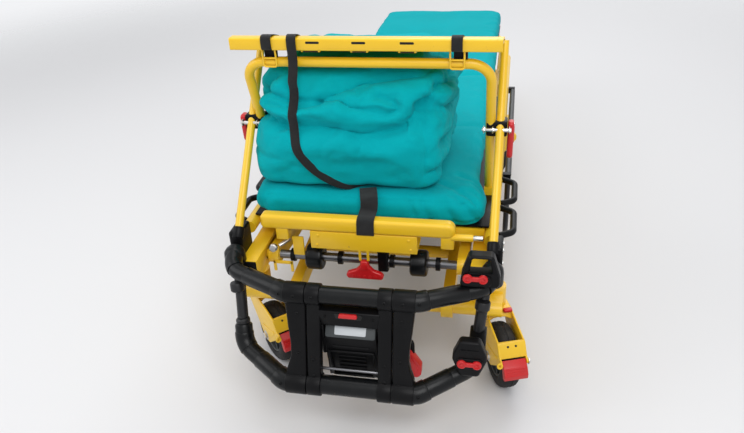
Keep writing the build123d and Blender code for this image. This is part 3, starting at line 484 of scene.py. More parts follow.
def settle(piece, body, stands_for):
    """Puts a piece on its body and in place of the nodes that it stands for."""
    bpy.context.scene.collection.objects.link(piece)
    if body:
        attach(piece, body)
    if stands_for:
        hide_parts(*stands_for)
    return piece


def outward(mesh):
    """Turns every face outward."""
    solid = bmesh.new()
    solid.from_mesh(mesh)
    bmesh.ops.recalc_face_normals(solid, faces=solid.faces)
    solid.to_mesh(mesh)
    solid.free()


def mesh_of(name, form, paints):
    """The mesh of a form, in metres, with its finishes."""
    mesh = bpy.data.meshes.new(name)
    mesh.from_pydata([row(p) for p in form.points], [], form.faces)
    mesh.polygons.foreach_set("material_index", form.paints)
    for paint in paints:
        mesh.materials.append(paint)
    outward(mesh)
    return mesh


def make(name, form, slot, body="litter", stands_for=(), others=()):
    """A piece in the finish of its slot, with other finishes numbered from 1."""
    mesh = mesh_of(name, form, [painted(slot), *others])
    crisp(mesh)
    return settle(bpy.data.objects.new(name, mesh), body, stands_for)


def softened(name, node, slot, width, segments=2, form=None, others=(), repaint=None):
    """The CAD node with its hard edges rounded over, plus fittings, standing for the node.

    Faces whose middle repaint picks take finish 1."""
    body = nodes[node]["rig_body"]
    solid = bmesh.new()
    solid.from_mesh(nodes[node].data)
    for vert in solid.verts:
        vert.co = Vector((vert.co.x / MM, vert.co.y / MM - FOOT_LINE, vert.co.z / MM))
    bmesh.ops.remove_doubles(solid, verts=solid.verts, dist=0.01)
    bmesh.ops.dissolve_limit(solid, angle_limit=radians(0.7), verts=solid.verts, edges=solid.edges)
    whole = Form()
    whole.soften(solid, width, segments)
    whole.absorb(solid, 0)
    if repaint:
        middles = [sum((Vector(whole.points[i]) for i in face), Vector()) / len(face) for face in whole.faces]
        whole.paints = [int(repaint(middle)) for middle in middles]
    if form:
        whole.add(form.points, form.faces)
        whole.paints[-len(form.faces):] = form.paints
    return make(name, whole, slot, body, (node,), others)


# Camera, light and floor

EYE = (298.5, -1034.8, 1164.4)
YAW, PITCH, ROLL = radians(12.6), radians(29.9), radians(-3.2)
LENS = 33.4
# metres from here on: half the floor's side, and where it starts and ends to fade
FLOOR_HALF = 9
FADE_START, FADE_END = 2.2, 4.8
# the backdrop's strength as a light, and what it gains where it is seen
SKY_LIGHT, SEEN_GAIN = 0.47, 0.45
LAMPS_AIM = Vector((0, -0.3, 0.4))
# name, place, side and power of each lamp
LAMPS = (("key_light", (1.2, -3.2, 3.4), 2.6, 88),
         ("fill_light", (-3.0, -1.6, 2.4), 2.4, 40),
         ("head_light", (0.6, 3.2, 3.0), 2.6, 52),
         ("top_light", (0, 0, 3.6), 2.4, 34))


def studio_view(scene):
    """The camera at the photograph's viewpoint, turned by its yaw, pitch and roll."""
    scene.view_settings.view_transform = "Standard"
    camera = bpy.data.objects.new("studio_camera", bpy.data.cameras.new("studio_camera"))
    scene.collection.objects.link(camera)
    scene.camera = camera
    camera.data.lens = LENS
    camera.data.clip_start, camera.data.clip_end = 0.05, 60
    level = Vector((cos(YAW), sin(YAW), 0))
    ahead = Vector((-sin(YAW) * cos(PITCH), cos(YAW) * cos(PITCH), -sin(PITCH)))
    over = level.cross(ahead)
    right, up = level * cos(ROLL) + over * sin(ROLL), over * cos(ROLL) - level * sin(ROLL)
    turn = Matrix((right, up, -ahead)).transposed()
    camera.matrix_world = Matrix.Translation(row(EYE)) @ turn.to_4x4()


def studio_floor(scene):
    """A floor that fades out into the backdrop."""
    mesh = bpy.data.meshes.new("studio_floor")
    corners = [(*p, 0) for p in taper(FLOOR_HALF, -FLOOR_HALF, FLOOR_HALF, FLOOR_HALF)]
    mesh.from_pydata(corners, [], [(0, 1, 2, 3)])
    floor = bpy.data.objects.new("studio_floor", mesh)
    scene.collection.objects.link(floor)
    ground = Finish("studio_floor", (0.72, 0.72, 0.73), roughness=0.75)
    ground.shade(ground.grain(0.6, 3.0) * 0.15, (0.66, 0.66, 0.68))
    away = ground.node("ShaderNodeVectorMath", {"operation": "LENGTH"}, {0: ground.place()}, "Value")
    ground.drive("Alpha", 1 - ground.span(away, FADE_START, FADE_END))
    mesh.materials.append(ground.material)


def studio_light(scene):
    """A pale backdrop, brighter where it is seen straight, mirrored or through glass, and the lamps."""
    world = bpy.data.worlds.new("studio_world")
    scene.world = world
    world.use_nodes = True
    sky = Nodes(world.node_tree)
    camera_ray = sky.node("ShaderNodeLightPath", {}, {}, "Is Camera Ray")
    glossy_ray, clear_ray = (Wire(sky, camera_ray.socket.node.outputs[f"Is {kind} Ray"])
                             for kind in ("Glossy", "Transmission"))
    seen = camera_ray.maths("MAXIMUM", camera_ray, glossy_ray)
    seen = seen.maths("MAXIMUM", seen, clear_ray)
    backdrop = world.node_tree.nodes["Background"]
    backdrop.inputs["Color"].default_value = (0.97, 0.98, 1.0, 1)
    world.node_tree.links.new((seen * SEEN_GAIN + SKY_LIGHT).socket, backdrop.inputs["Strength"])
    for name, place, side, power in LAMPS:
        lamp = bpy.data.lights.new(name, "AREA")
        lamp.size, lamp.energy = side, power
        light = bpy.data.objects.new(name, lamp)
        light.location = place
        light.rotation_mode = "QUATERNION"
        light.rotation_quaternion = (LAMPS_AIM - Vector(place)).to_track_quat("-Z", "Y")
        scene.collection.objects.link(light)


studio_view(bpy.context.scene)
studio_floor(bpy.context.scene)
studio_light(bpy.context.scene)


# Soft pieces

CLOTH = {"quality": 4, "mass": 0.3, "tension_stiffness": 12, "compression_stiffness": 12,
         "bending_stiffness": 0.6, "use_pressure": True}


def applied(work):
    """A new mesh of an object as its modifiers leave it."""
    return bpy.data.meshes.new_from_object(work.evaluated_get(bpy.context.evaluated_depsgraph_get()))


def swollen(form, name, voxel, cap, pressure=4.0, steps=20):
    """Remeshes a closed form, swells it as cloth by the cap at most, and returns a finer mesh."""
    work = bpy.data.objects.new(name, mesh_of(name, form, ()))
    scene = bpy.context.scene
    scene.collection.objects.link(work)
    remesh = work.modifiers.new("even", "REMESH")
    remesh.mode, remesh.voxel_size = "VOXEL", voxel * MM
    even = applied(work)
    work.modifiers.clear()
    work.data = even
    rest = np.array([v.co for v in even.vertices])
    cloth = work.modifiers.new("swell", "CLOTH")
    for key, value in CLOTH.items():
        setattr(cloth.settings, key, value)
    cloth.settings.uniform_pressure_force = pressure
    cloth.settings.effector_weights.gravity = 0
    cloth.collision_settings.use_collision = False
    cloth.point_cache.frame_start, cloth.point_cache.frame_end = 1, steps
    for step in range(1, steps + 1):
        scene.frame_set(step)
    swelled = work.evaluated_get(bpy.context.evaluated_depsgraph_get())
    now = np.array([v.co for v in swelled.data.vertices])
    way = now - rest
    size = np.linalg.norm(way, axis=1, keepdims=True)
    rest = rest + way * np.minimum(1, cap * MM / np.maximum(size, 1e-9))
    work.modifiers.clear()
    scene.frame_set(1)
    even.vertices.foreach_set("co", rest.astype(np.float32).ravel())
    work.modifiers.new("fine", "SUBSURF").levels = 1
    bpy.context.view_layer.update()
    fine = applied(work)
    bpy.data.objects.remove(work)
    fine.name = name
    return fine


def points_of(mesh):
    """The points of a mesh in millimetres, and its normals."""
    flat = np.empty(len(mesh.vertices) * 3)
    mesh.vertices.foreach_get("co", flat)
    normals = np.empty(len(mesh.vertices) * 3)
    mesh.vertices.foreach_get("normal", normals)
    points = flat.reshape(-1, 3) / MM
    points[:, 1] -= FOOT_LINE
    return points, normals.reshape(-1, 3)


def put_points(mesh, points):
    """Moves a mesh's points to places in millimetres."""
    flat = points.copy()
    flat[:, 1] += FOOT_LINE
    mesh.vertices.foreach_set("co", (flat * MM).astype(np.float32).ravel())
    mesh.update()


def distance_to(flat, line):
    """How far each flat point is from a line of points."""
    best = np.full(len(flat), 1e9)
    line = np.array(line, float)
    for a, b in zip(line, line[1:]):
        way = b - a
        share = np.clip(((flat - a) @ way) / (way @ way), 0, 1)
        best = np.minimum(best, np.linalg.norm(flat - a - share[:, None] * way, axis=1))
    return best


def folded(points, normals, folds):
    """Presses fold lines into a skin: facing axis and side, line on that face, depth, half width."""
    moved = points.copy()
    for axis, side, line, depth, width in folds:
        plane = [i for i in range(3) if i != axis]
        facing = np.clip(normals[:, axis] * side * 1.6, 0, 1)
        away = distance_to(points[:, plane], line)
        press = depth * np.exp(-(away / width) ** 1.15) * facing
        swell = 0.22 * depth * np.exp(-((away - 2.4 * width) / (1.5 * width)) ** 2) * facing
        moved -= normals * (press - swell)[:, None]
    return moved


def ruffled(points, normals, size, height, stretch=(1, 1, 1), seed=0.0, mask=None):
    """Soft waves of a size and height in millimetres."""
    scale = np.array(stretch) / size
    lift = np.array([noise.noise(Vector(p) + Vector((seed, seed, seed))) for p in points * scale]) * height
    if mask is not None:
        lift = lift * mask
    return points + normals * lift[:, None]


def ramp(values, start, end):
    """The share of the way from start to end, kept within 0 and 1."""
    return np.clip((values - start) / (end - start), 0, 1)


def rounded_ring(low_x, high_x, low_y, high_y, radius, z, steps=7):
    """A ring round a rounded rectangle at one height."""
    radius = min(radius, 0.49 * (high_x - low_x), 0.49 * (high_y - low_y))
    corners = ((high_x, high_y, 0), (low_x, high_y, 90), (low_x, low_y, 180), (high_x, low_y, 270))
    ring = []
    for cx, cy, start in corners:
        cx += -radius if start in (0, 270) else radius
        cy += -radius if start in (0, 90) else radius
        for i in range(steps + 1):
            turn = radians(start + 90 * i / steps)
            ring.append((cx + radius * cos(turn), cy + radius * sin(turn), z))
    return ring


def dressed(name, mesh, points, body, slot, stands_for):
    """A soft piece from a mesh and the last places of its points."""
    put_points(mesh, points)
    mesh.materials.append(painted(slot))
    crisp(mesh, 180)
    return settle(bpy.data.objects.new(name, mesh), body, stands_for)


def bundle():
    """The folded quilt, under the platform's tray and behind its hoop."""
    # height, left, right, front, back
    levels = ((457, -250, 140, 290, 610), (460, -264, 152, 272, 622), (470, -272, 158, 262, 630),
              (500, -270, 161, 256, 633), (540, -260, 163, 255, 634), (580, -249, 165, 260, 634),
              (610, -245, 166, 268, 632), (640, -243, 168, 276, 630), (670, -240, 170, 286, 626),
              (692, -234, 168, 298, 618), (706, -226, 160, 311, 606), (716, -212, 146, 326, 588),
              (722, -190, 128, 342, 566), (725, -155, 96, 362, 540))
    # the form starts inside these levels and swells out to about them
    side_inset, end_inset, corner = 5, 6, 46
    form = Form()
    form.skin([rounded_ring(left + side_inset, right - side_inset, front + end_inset, back - end_inset,
                            corner, z) for z, left, right, front, back in levels])
    mesh = swollen(form, "bedding_bundle_quilt", 6.0, 9.0)
    points, normals = points_of(mesh)
    front_folds = [
        (1, -1, [(-250, 618), (-214, 609), (-166, 603), (-97, 608), (-56, 606), (-9, 597), (37, 599),
                 (77, 608), (111, 630), (144, 672), (174, 716)], 22, 15),
        (1, -1, [(-240, 672), (-169, 660), (-99, 664), (-51, 680), (4, 695), (70, 706), (129, 710),
                 (165, 730)], 17, 12),
        (1, -1, [(-95, 661), (-55, 662), (-28, 650), (11, 644), (51, 639), (70, 648), (62, 664),
                 (30, 672)], 13, 8),
        (1, -1, [(-215, 647), (-151, 648), (-96, 657)], 10, 7),
        (1, -1, [(-20, 592), (-6, 572), (-12, 556)], 5, 9),
        (1, -1, [(6, 590), (22, 566)], 4, 8),
        (1, -1, [(-60, 600), (-90, 570), (-96, 540)], 4, 12),
        (1, -1, [(120, 620), (128, 560), (124, 500)], 5, 10),
    ]
    other_folds = [
        (0, 1, [(255, 700), (300, 640), (420, 610), (560, 612), (612, 580), (560, 548), (400, 545),
                (310, 560)], 16, 10),
        (0, 1, [(330, 690), (420, 665), (560, 668), (640, 640)], 13, 9),
        (0, 1, [(280, 505), (400, 498), (560, 505), (640, 498)], 12, 9),
        (0, -1, [(262, 612), (400, 606), (560, 612), (640, 606)], 8, 9),
        (0, -1, [(270, 664), (400, 660), (560, 668), (640, 660)], 6, 8),
        (0, -1, [(262, 530), (400, 536), (560, 528), (640, 534)], 4, 8),
        (0, -1, [(310, 735), (364, 581), (408, 457)], 22, 13),
        (1, 1, [(-250, 606), (-100, 612), (60, 604), (180, 612)], 16, 11),
        (1, 1, [(-250, 660), (-60, 666), (180, 660)], 13, 9),
        (1, 1, [(-250, 534), (-60, 528), (180, 536)], 11, 9),
        (2, 1, [(-170, 360), (-150, 480), (-158, 600)], 8, 10),
        (2, 1, [(118, 350), (126, 470), (112, 590)], 9, 10),
    ]
    points = folded(points, normals, front_folds + other_folds)
    put_points(mesh, points)
    points, normals = points_of(mesh)
    calm = 1 - 0.6 * ramp(points[:, 0], -150, -210)
    points = ruffled(points, normals, 95, 8.0, seed=3.1, mask=calm)
    points = ruffled(points, normals, 42, 3.4, (1, 1, 1.6), seed=7.7)
    near_folds = np.exp(-distance_to(points[:, [0, 2]], [(-230, 640), (150, 660)]) / 45)
    points = ruffled(points, normals, 20, 3.2, (0.7, 1, 1.5), seed=1.9, mask=near_folds)
    right_side = ramp(points[:, 0], 120, 150) * ramp(points[:, 2], 455, 475)
    points = ruffled(points, normals, 15, 2.6, seed=5.3, mask=right_side)
    lowest, highest = 455.6, 727.5
    points[:, 2] = np.clip(points[:, 2], lowest, highest)
    piece = dressed("bedding_bundle_quilt", mesh, points, "litter", "teal_bedding", ("bedding_bundle",))
    return piece


def mattress():
    """One mattress skin, with a crease pressed across it where the backrest's hinge is."""
    low, high, half, foot, head, corner = 392.2, 452.0, 240.0, 245.0, 1920.0, 34
    levels = ((low, 14), (low + 4, 5), (low + 14, 0.5), (0.5 * (low + high), 0), (high - 14, 0.5),
              (high - 4, 5), (high, 14))
    form = Form()
    form.skin([rounded_ring(-half + inset, half - inset, foot + inset, head - inset, corner, z)
               for z, inset in levels])
    mesh = swollen(form, "mattress_skin", 9.0, 5.0, 3.0, 14)
    points, normals = points_of(mesh)
    folds = [(2, 1, [(-250, 1080), (0, 1084), (250, 1080)], 7, 14),
             (2, 1, [(-250, 660), (250, 662)], 3, 12),
             (1, -1, [(-245, 446), (-120, 449), (60, 447), (245, 449)], 2.5, 5),
             (1, -1, [(-245, 402), (245, 402)], 2.5, 4),
             (0, 1, [(240, 402), (1925, 402)], 2.5, 4), (0, -1, [(240, 402), (1925, 402)], 2.5, 4)]
    # short creases, from one end to the other: on the top by x and y, then on the front by x and z
    for x, y, u, v in ((188, 292, 236, 246), (206, 300, 244, 268), (176, 276, 210, 243),
                       (214, 330, 244, 300), (150, 330, 232, 256), (190, 372, 246, 322)):
        folds.append((2, 1, [(x, y), (u, v)], 6, 7))
    for x, z, u, v in ((120, 450, 138, 405), (160, 452, 186, 400), (196, 450, 224, 408),
                       (-205, 450, -222, 410), (96, 446, 104, 420)):
        folds.append((1, -1, [(x, z), (u, v)], 5, 7))
    points = folded(points, normals, folds)
    put_points(mesh, points)
    points, normals = points_of(mesh)
    points = ruffled(points, normals, 130, 5.0, (1, 0.7, 1), seed=2.2)
    from_border = np.minimum(np.abs(np.abs(points[:, 0]) - 244), np.abs(points[:, 1] - 240))
    points = ruffled(points, normals, 34, 3.4, (1, 1, 0.5), seed=4.4,
                     mask=np.clip(1.25 - from_border / 60, 0, 1))
    # both corners at the foot end spread, the left one less low down
    corners = ramp(np.abs(points[:, 0]), 120, 240) * ramp(points[:, 1], 398, 328)
    left_shift = -28 + 24 * ramp(points[:, 2], 424, 394) ** 2
    right_shift = 19
    points[:, 0] += corners * np.where(points[:, 0] < 0, left_shift, right_shift)
    under = points[:, 2] < 396
    points[under, 2] = np.maximum(points[under, 2], 391.9)
    piece = dressed("mattress_skin", mesh, points, None, "teal_cloth", ("mattress_seat", "mattress_back"))
    row((0, 1010, 420))
    row((0, 1150, 420))
    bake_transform(piece)


def strap(name, path, faces_to, width, thick=1.8):
    """A flat strap along points, lying square to the given directions."""
    path = [Vector(p) for p in path]
    half, edge, chamfer = width / 2, thick / 2, 0.8
    outline = [(-half, -0.3 * edge), (-half + chamfer, -edge), (half - chamfer, -edge), (half, -0.3 * edge),
               (half, 0.3 * edge), (half - chamfer, edge), (-half + chamfer, edge), (-half, 0.3 * edge)]
    rows, gone, along, across = [], 0.0, [], []
    for i, point in enumerate(path):
        way = (path[min(i + 1, len(path) - 1)] - path[max(i - 1, 0)]).normalized()
        out = Vector(faces_to[i]) - way * way.dot(Vector(faces_to[i]))
        out.normalize()
        side = out.cross(way)
        if i:
            gone += (point - path[i - 1]).length
        rows.append([point + side * a + out * b for a, b in outline])
        along += [gone * MM] * len(outline)
        across += [a * MM for a, _ in outline]
    mesh = mesh_of(name, Form().skin(rows), [webbing])
    for key, values in (("along", along), ("across", across)):
        mesh.attributes.new(key, "FLOAT", "POINT").data.foreach_set("value", values)
    crisp(mesh, 40)
    settle(bpy.data.objects.new(name, mesh), "litter", ())


def outside(path):
    """The outer side of a strap that keeps its place across the frame."""
    path = [Vector(p[:3]) for p in path]
    return [Vector((0, b.z - a.z, a.y - b.y)) for a, b in zip(path, path[1:] + [2 * path[-1] - path[-2]])]


def smooth_run(points, count):
    """A smooth line through points, evenly spaced (each a tuple of numbers)."""
    points = np.array(points, float)
    for _ in range(4):
        near = 0.75 * points[:-1] + 0.25 * points[1:]
        far = 0.25 * points[:-1] + 0.75 * points[1:]
        cut = np.stack([near, far], axis=1).reshape(-1, points.shape[1])
        points = np.vstack([points[:1], cut, points[-1:]])
    gone = np.concatenate([[0], np.cumsum(np.linalg.norm(np.diff(points[:, :3], axis=0), axis=1))])
    marks = np.linspace(0, gone[-1], count)
    return np.column_stack([np.interp(marks, gone, points[:, i]) for i in range(points.shape[1])])


def belt(quilt):
    """The belt from the tray down over the quilt, and its wide end over the mattress and the foot bar."""
    surface = BVHTree.FromPolygons([v.co for v in quilt.data.vertices],
                                   [tuple(p.vertices) for p in quilt.data.polygons])
    lead = smooth_run([(-144, 336, 780), (-144, 300, 796), (-143, 287, 796.5), (-143, 281.5, 791),
                       (-143, 281, 776), (-143, 283, 756), (-144, 286, 735), (-146, 284, 716),
                       (-148, 278, 700)], 40)
    # where the belt runs down the quilt's front, across and up
    guide = smooth_run([(-148, 700), (-151, 670), (-153, 630), (-152, 594), (-145, 558), (-127, 523),
                        (-100, 494), (-62, 471), (-26, 460), (4, 457.5)], 80)
    standoff = 2.0
    rows, last = [tuple(p) for p in lead], 278.0
    for x, z in guide[1:]:
        hit = surface.ray_cast(row((x, 0, z)), Vector((0, 1, 0)))[0]
        last = hit.y / MM - FOOT_LINE - standoff if hit else last
        rows.append((x, last, z))
    # the points before the first free one hold their place, and the rest are pulled taut, then smoothed
    pulled, free = np.array([y for _, y, _ in rows]), 25
    for _ in range(40):
        taut = (pulled[:-2] + 2 * pulled[1:-1] + pulled[2:]) / 4
        pulled[free:-1] = np.minimum(pulled[free:-1], taut[free - 1:])
    for _ in range(3):
        pulled[free:-1] = (pulled[free - 1:-2] + 2 * pulled[free:-1] + pulled[free + 1:]) / 4
    path = [Vector((x, y, z)) for (x, _, z), y in zip(rows, pulled)]
    over_tray = 36
    faces_to = outside(path[:over_tray]) + [Vector((0, -1, 0.3))] * (len(path) - over_tray)
    strap("quilt_belt", path, faces_to, 20)
    wide = smooth_run([(-2, 285, 459), (4, 262, 458.5), (8, 244, 458), (10, 236, 452), (10, 232, 440),
                       (9, 228, 434), (8, 214, 430.8), (8, 202, 430.8), (8, 191.5, 426), (8, 190.8, 410),
                       (7, 192, 396), (6, 198, 389.5), (6, 206, 388)], 70)
    strap("foot_belt", wide, outside(wide), 38, thick=2.2)


quilt_piece = bundle()
mattress()
belt(quilt_piece)


# Equipment platform

def tray():
    """The sloping tray: a square tube along its front, a sheet with a rim, and a ribbed mat."""
    front, top, half, deep, flange, wall = 286.0, 790.0, 277.0, 210.0, 25.0, 2.6
    slope = radians(15)
    down, away = Vector((0, cos(slope), -sin(slope))), Vector((0, sin(slope), cos(slope)))
    edge = Vector((0, front, top))
    form = Form()
    # square tube along the front, open at both ends
    outer = soft_corners([(0, 0), (flange, 0), (flange, flange), (0, flange)], 3.0, 3)
    clear = flange - 2 * wall
    inner = [(wall + a * clear / flange, wall + b * clear / flange) for a, b in outer]
    rows = [[(x, front + a, top - b) for a, b in loop]
            for x, loop in ((-half, outer), (half, outer), (half, inner), (-half, inner))]
    form.skin(rows, 0, loop=True)
    # sloping sheet with a turned-down rim on three sides, and the mat on it
    middle = edge + down * (deep / 2 + 6)
    form.plate(taper(half, -deep / 2 + 6, half, deep / 2 - 6), middle - away * 1.5, (1, 0, 0), down, 3.0,
               0, 0.8)
    for sign in BOTH:
        form.plate([(0, -9), (deep - 24, -9), (deep - 24, 2), (0, 2)],
                   edge + down * 24 + Vector((sign * (half - 1.5), 0, 0)), down, away, 3.0, 0, 1.0)
    form.plate(taper(half, -9, half, 4), edge + down * (deep - 1.5), (1, 0, 0), away, 3.0, 0, 1.0)
    mat = soft_corners(taper(half - 8, 12, half - 8, deep - 8), 6)
    form.plate(mat, edge + away * 1.6, (1, 0, 0), down, 3.0, 1, 0.8)
    for i in range(21):
        place = 24 + i * 8.4
        rib = taper(half - 16, place - 1.4, half - 16, place + 1.4)
        form.plate(rib, edge + away * 3.4, (1, 0, 0), down, 1.4, 1, 0.4, 1)
    # slots in the front face and a row just under it, as thin near-black sheets that paint the shade inside
    # them
    for x in (-100, -5, 92):
        form.front(soft_corners(taper(14, -2.4, 14, 2.4), 2.3), (x, front - 0.1, top - 8), 0.5, 2, 0.1, 1)
    under = top - flange
    for x, wide in ((-106, 20), (-5, 18), (92, 18)):
        form.block((x - wide, front + 3, under - 3.2), (x + wide, front + 16, under + 0.4), 0, 0.8)
        form.front(taper(wide - 4, -1.2, wide - 4, 1.2), (x, front + 2.9, under - 1.6), 0.4, 2, 0.05, 1)
    make("platform_tray_sheet", form, "yellow_paint", stands_for=("platform_tray",),
         others=(tray_mat, painted_hole_shade))


def wire_loop(form, corners, radius):
    """A closed loop of wire through four corners."""
    middle = tuple((a + b) / 2 for a, b in zip(corners[0], corners[1]))
    path = bent([middle, *corners[1:], corners[0], middle], 5.0, 6)[:-1]
    form.sweep(path, circle(radius, 12), loop=True)


def tray_fittings():
    """The strap ends over the tray's edge with their wire loops, posts' caps, clamps and red levers."""
    loops = Form()
    for x in (-197, 190):
        corners = [(x - 14, 293, 772), (x + 14, 293, 772), (x + 14, 297, 728), (x - 14, 297, 728)]
        wire_loop(loops, corners, 2.0)
        loops.tube([(x - 15, 297, 746), (x + 15, 297, 746)], 2.0, sides=12, rounding=0.6)
        run = smooth_run([(x, 340, 781.5), (x, 300, 795), (x, 287, 795), (x, 282.5, 790), (x, 282.5, 776),
                          (x, 284, 768), (x, 290, 765), (x, 295, 768), (x, 296, 774)], 44)
        strap(f"tray_strap_{'left' if x < 0 else 'right'}", run, outside(run), 22)
    make("strap_loops", loops, "yellow_paint")
    caps = Form()
    for sign in BOTH:
        way = Vector((0, 342, 399)).normalized()
        foot = Vector((sign * 278, 178, 382))
        caps.turned([(-6, 9), (-5.5, 12), (-3, 13), (16, 13), (19, 12), (20, 9.4)], foot, way, 0, 28)
    make("post_collars", caps, "black_plastic")

    clamp, lever, bolts = Form(), Form(), Form()
    y, z = 364.0, 581.0
    for sign in BOTH:
        low, high = sorted((sign * 249, sign * 293))
        clamp.block((low, y - 17, z + 1.5), (high, y + 17, z + 17), 0, 4, 3)
        clamp.block((low, y - 17, z - 17), (high, y + 17, z - 1.5), 0, 4, 3)
        clamp.block((low + 4, y - 14, z - 3), (high - 4, y + 14, z + 3), 0, 0.5)
        clamp.block((sign * 196 - 14, 303, 745.8), (sign * 196 + 14, 309, 764.7), 0, 1.5)
        bolts.tube([(sign * 240, y - 19.5, z), (sign * 301, y - 19.5, z)], 4.2, sides=16, rounding=1)
        for x in (243, 262, 297):
            bolts.nut((sign * x, y - 19.5, z), (sign, 0, 0), 5.6, 4)
        tip = 54 if sign < 0 else 72
        outline = [(-13, 14), (13, 14), (14, 0), (10, 24 - tip), (9, 6 - tip), (4, -tip), (-4, -tip),
                   (-9, 8 - tip), (-12, -20)]
        lever.plate(soft_corners(outline, 7), (sign * 300.4, y, z), (0, 1, 0), (0, 0, 1), 13, 0, 4.5, 4)
        lever.plate(soft_corners([(-5, 2), (5, 2), (4, -36), (-3, -36)], 3), (sign * 307, y, z),
                    (0, 1, 0), (0, 0, 1), 2.4, 0, 1.0, 2)
        bolts.bolt((sign * 306, y + 1, z + 7), (sign, 0, 0), 5, 3)
    make("clamp_blocks", clamp, "black_plastic", stands_for=("platform_clamps",))
    make("clamp_levers", lever, "red_plastic", stands_for=("platform_levers",))
    make("clamp_bolts", bolts, "bright_steel")


tray()
tray_fittings()


# Foot end

def foot_end():
    """The foot bar with its plate, the red release handle, the latch knob and the hose guard."""
    bar = Form()
    outline = soft_corners([(-228, -17), (198, -17), (198, 17), (-228, 17)], 16.6, 10)
    bar.front(outline, (0, 208, 411), 30, 0, 11, 5)
    for sign in BOTH:
        low, high = sorted((sign * 168, sign * 196))
        bar.block((low, 196, 367), (high, 210, 400), 0, 2.5)
        bar.block((low, 205, 367), (high, 261.7, 383), 0, 2.5)
    bar.tube([(190, 202, 396), (236, 202, 396)], 8, 0, 20, 1)
    make("foot_bar_moulding", bar, "yellow_paint", stands_for=("foot_bar",))

    stub = Form()
    stub.tube([(234, 202, 396), (256, 202, 396)], 5.6, 0, 20, 1)
    stub.turned([(0, 5), (2, 9), (11, 9), (13, 7)], (-204, 196, 346), (0, -0.9, 0.3), 0, 24)
    stub.tube([(-196, 205, 344), (-176, 226, 352)], 4.5, 0, 16, 1)
    make("latch_knob", stub, "bright_steel")

    rivets = Form()
    for x, z in ((-100, 384), (100, 384), (-104, 360), (104, 360)):
        rivets.turned([(0, 3.4), (0.8, 3.2), (1.6, 2.2), (2.0, 0.6)], (x, 196, z), (0, -1, 0), 0, 16)
    softened("foot_plate_sheet", "foot_plate", "yellow_paint", 1.6, 3, rivets)

    pull = Form()
    y, top = 198.5, 323.7
    outline = [(-8, 0), (8, 0), (11, -14), (20, -24), (38, -31), (43, -38), (39, -47),
               (-39, -47), (-43, -38), (-38, -31), (-20, -24), (-11, -14)]
    pull.front(soft_corners(outline, 6, 5), (0, y, top + 1), 14, 0, 4.5, 4)
    pull.front(soft_corners(taper(6, -4, 10, -20), 3), (0, y - 7, top), 3, 0, 1.2)
    for x in (-24, -12, 0, 12, 24):
        pull.front(soft_corners(taper(3.4, -4, 3.4, 4), 2), (x, y - 7, top - 38), 1.8, 0, 0.7)
    make("release_pull", pull, "red_plastic", stands_for=("release_handle",))

    plate = Form()
    plate.block((-215, 204, 296), (-168, 208, 304), 0, 1.5)
    plate.block((-215, 204, 276), (-208, 208, 304), 0, 1.5)
    plate.block((-175, 204, 276), (-168, 208, 304), 0, 1.5)
    plate.block((-166, 212, 318), (-140, 218, 366), 0, 2)
    make("hose_guard", plate, "yellow_paint")


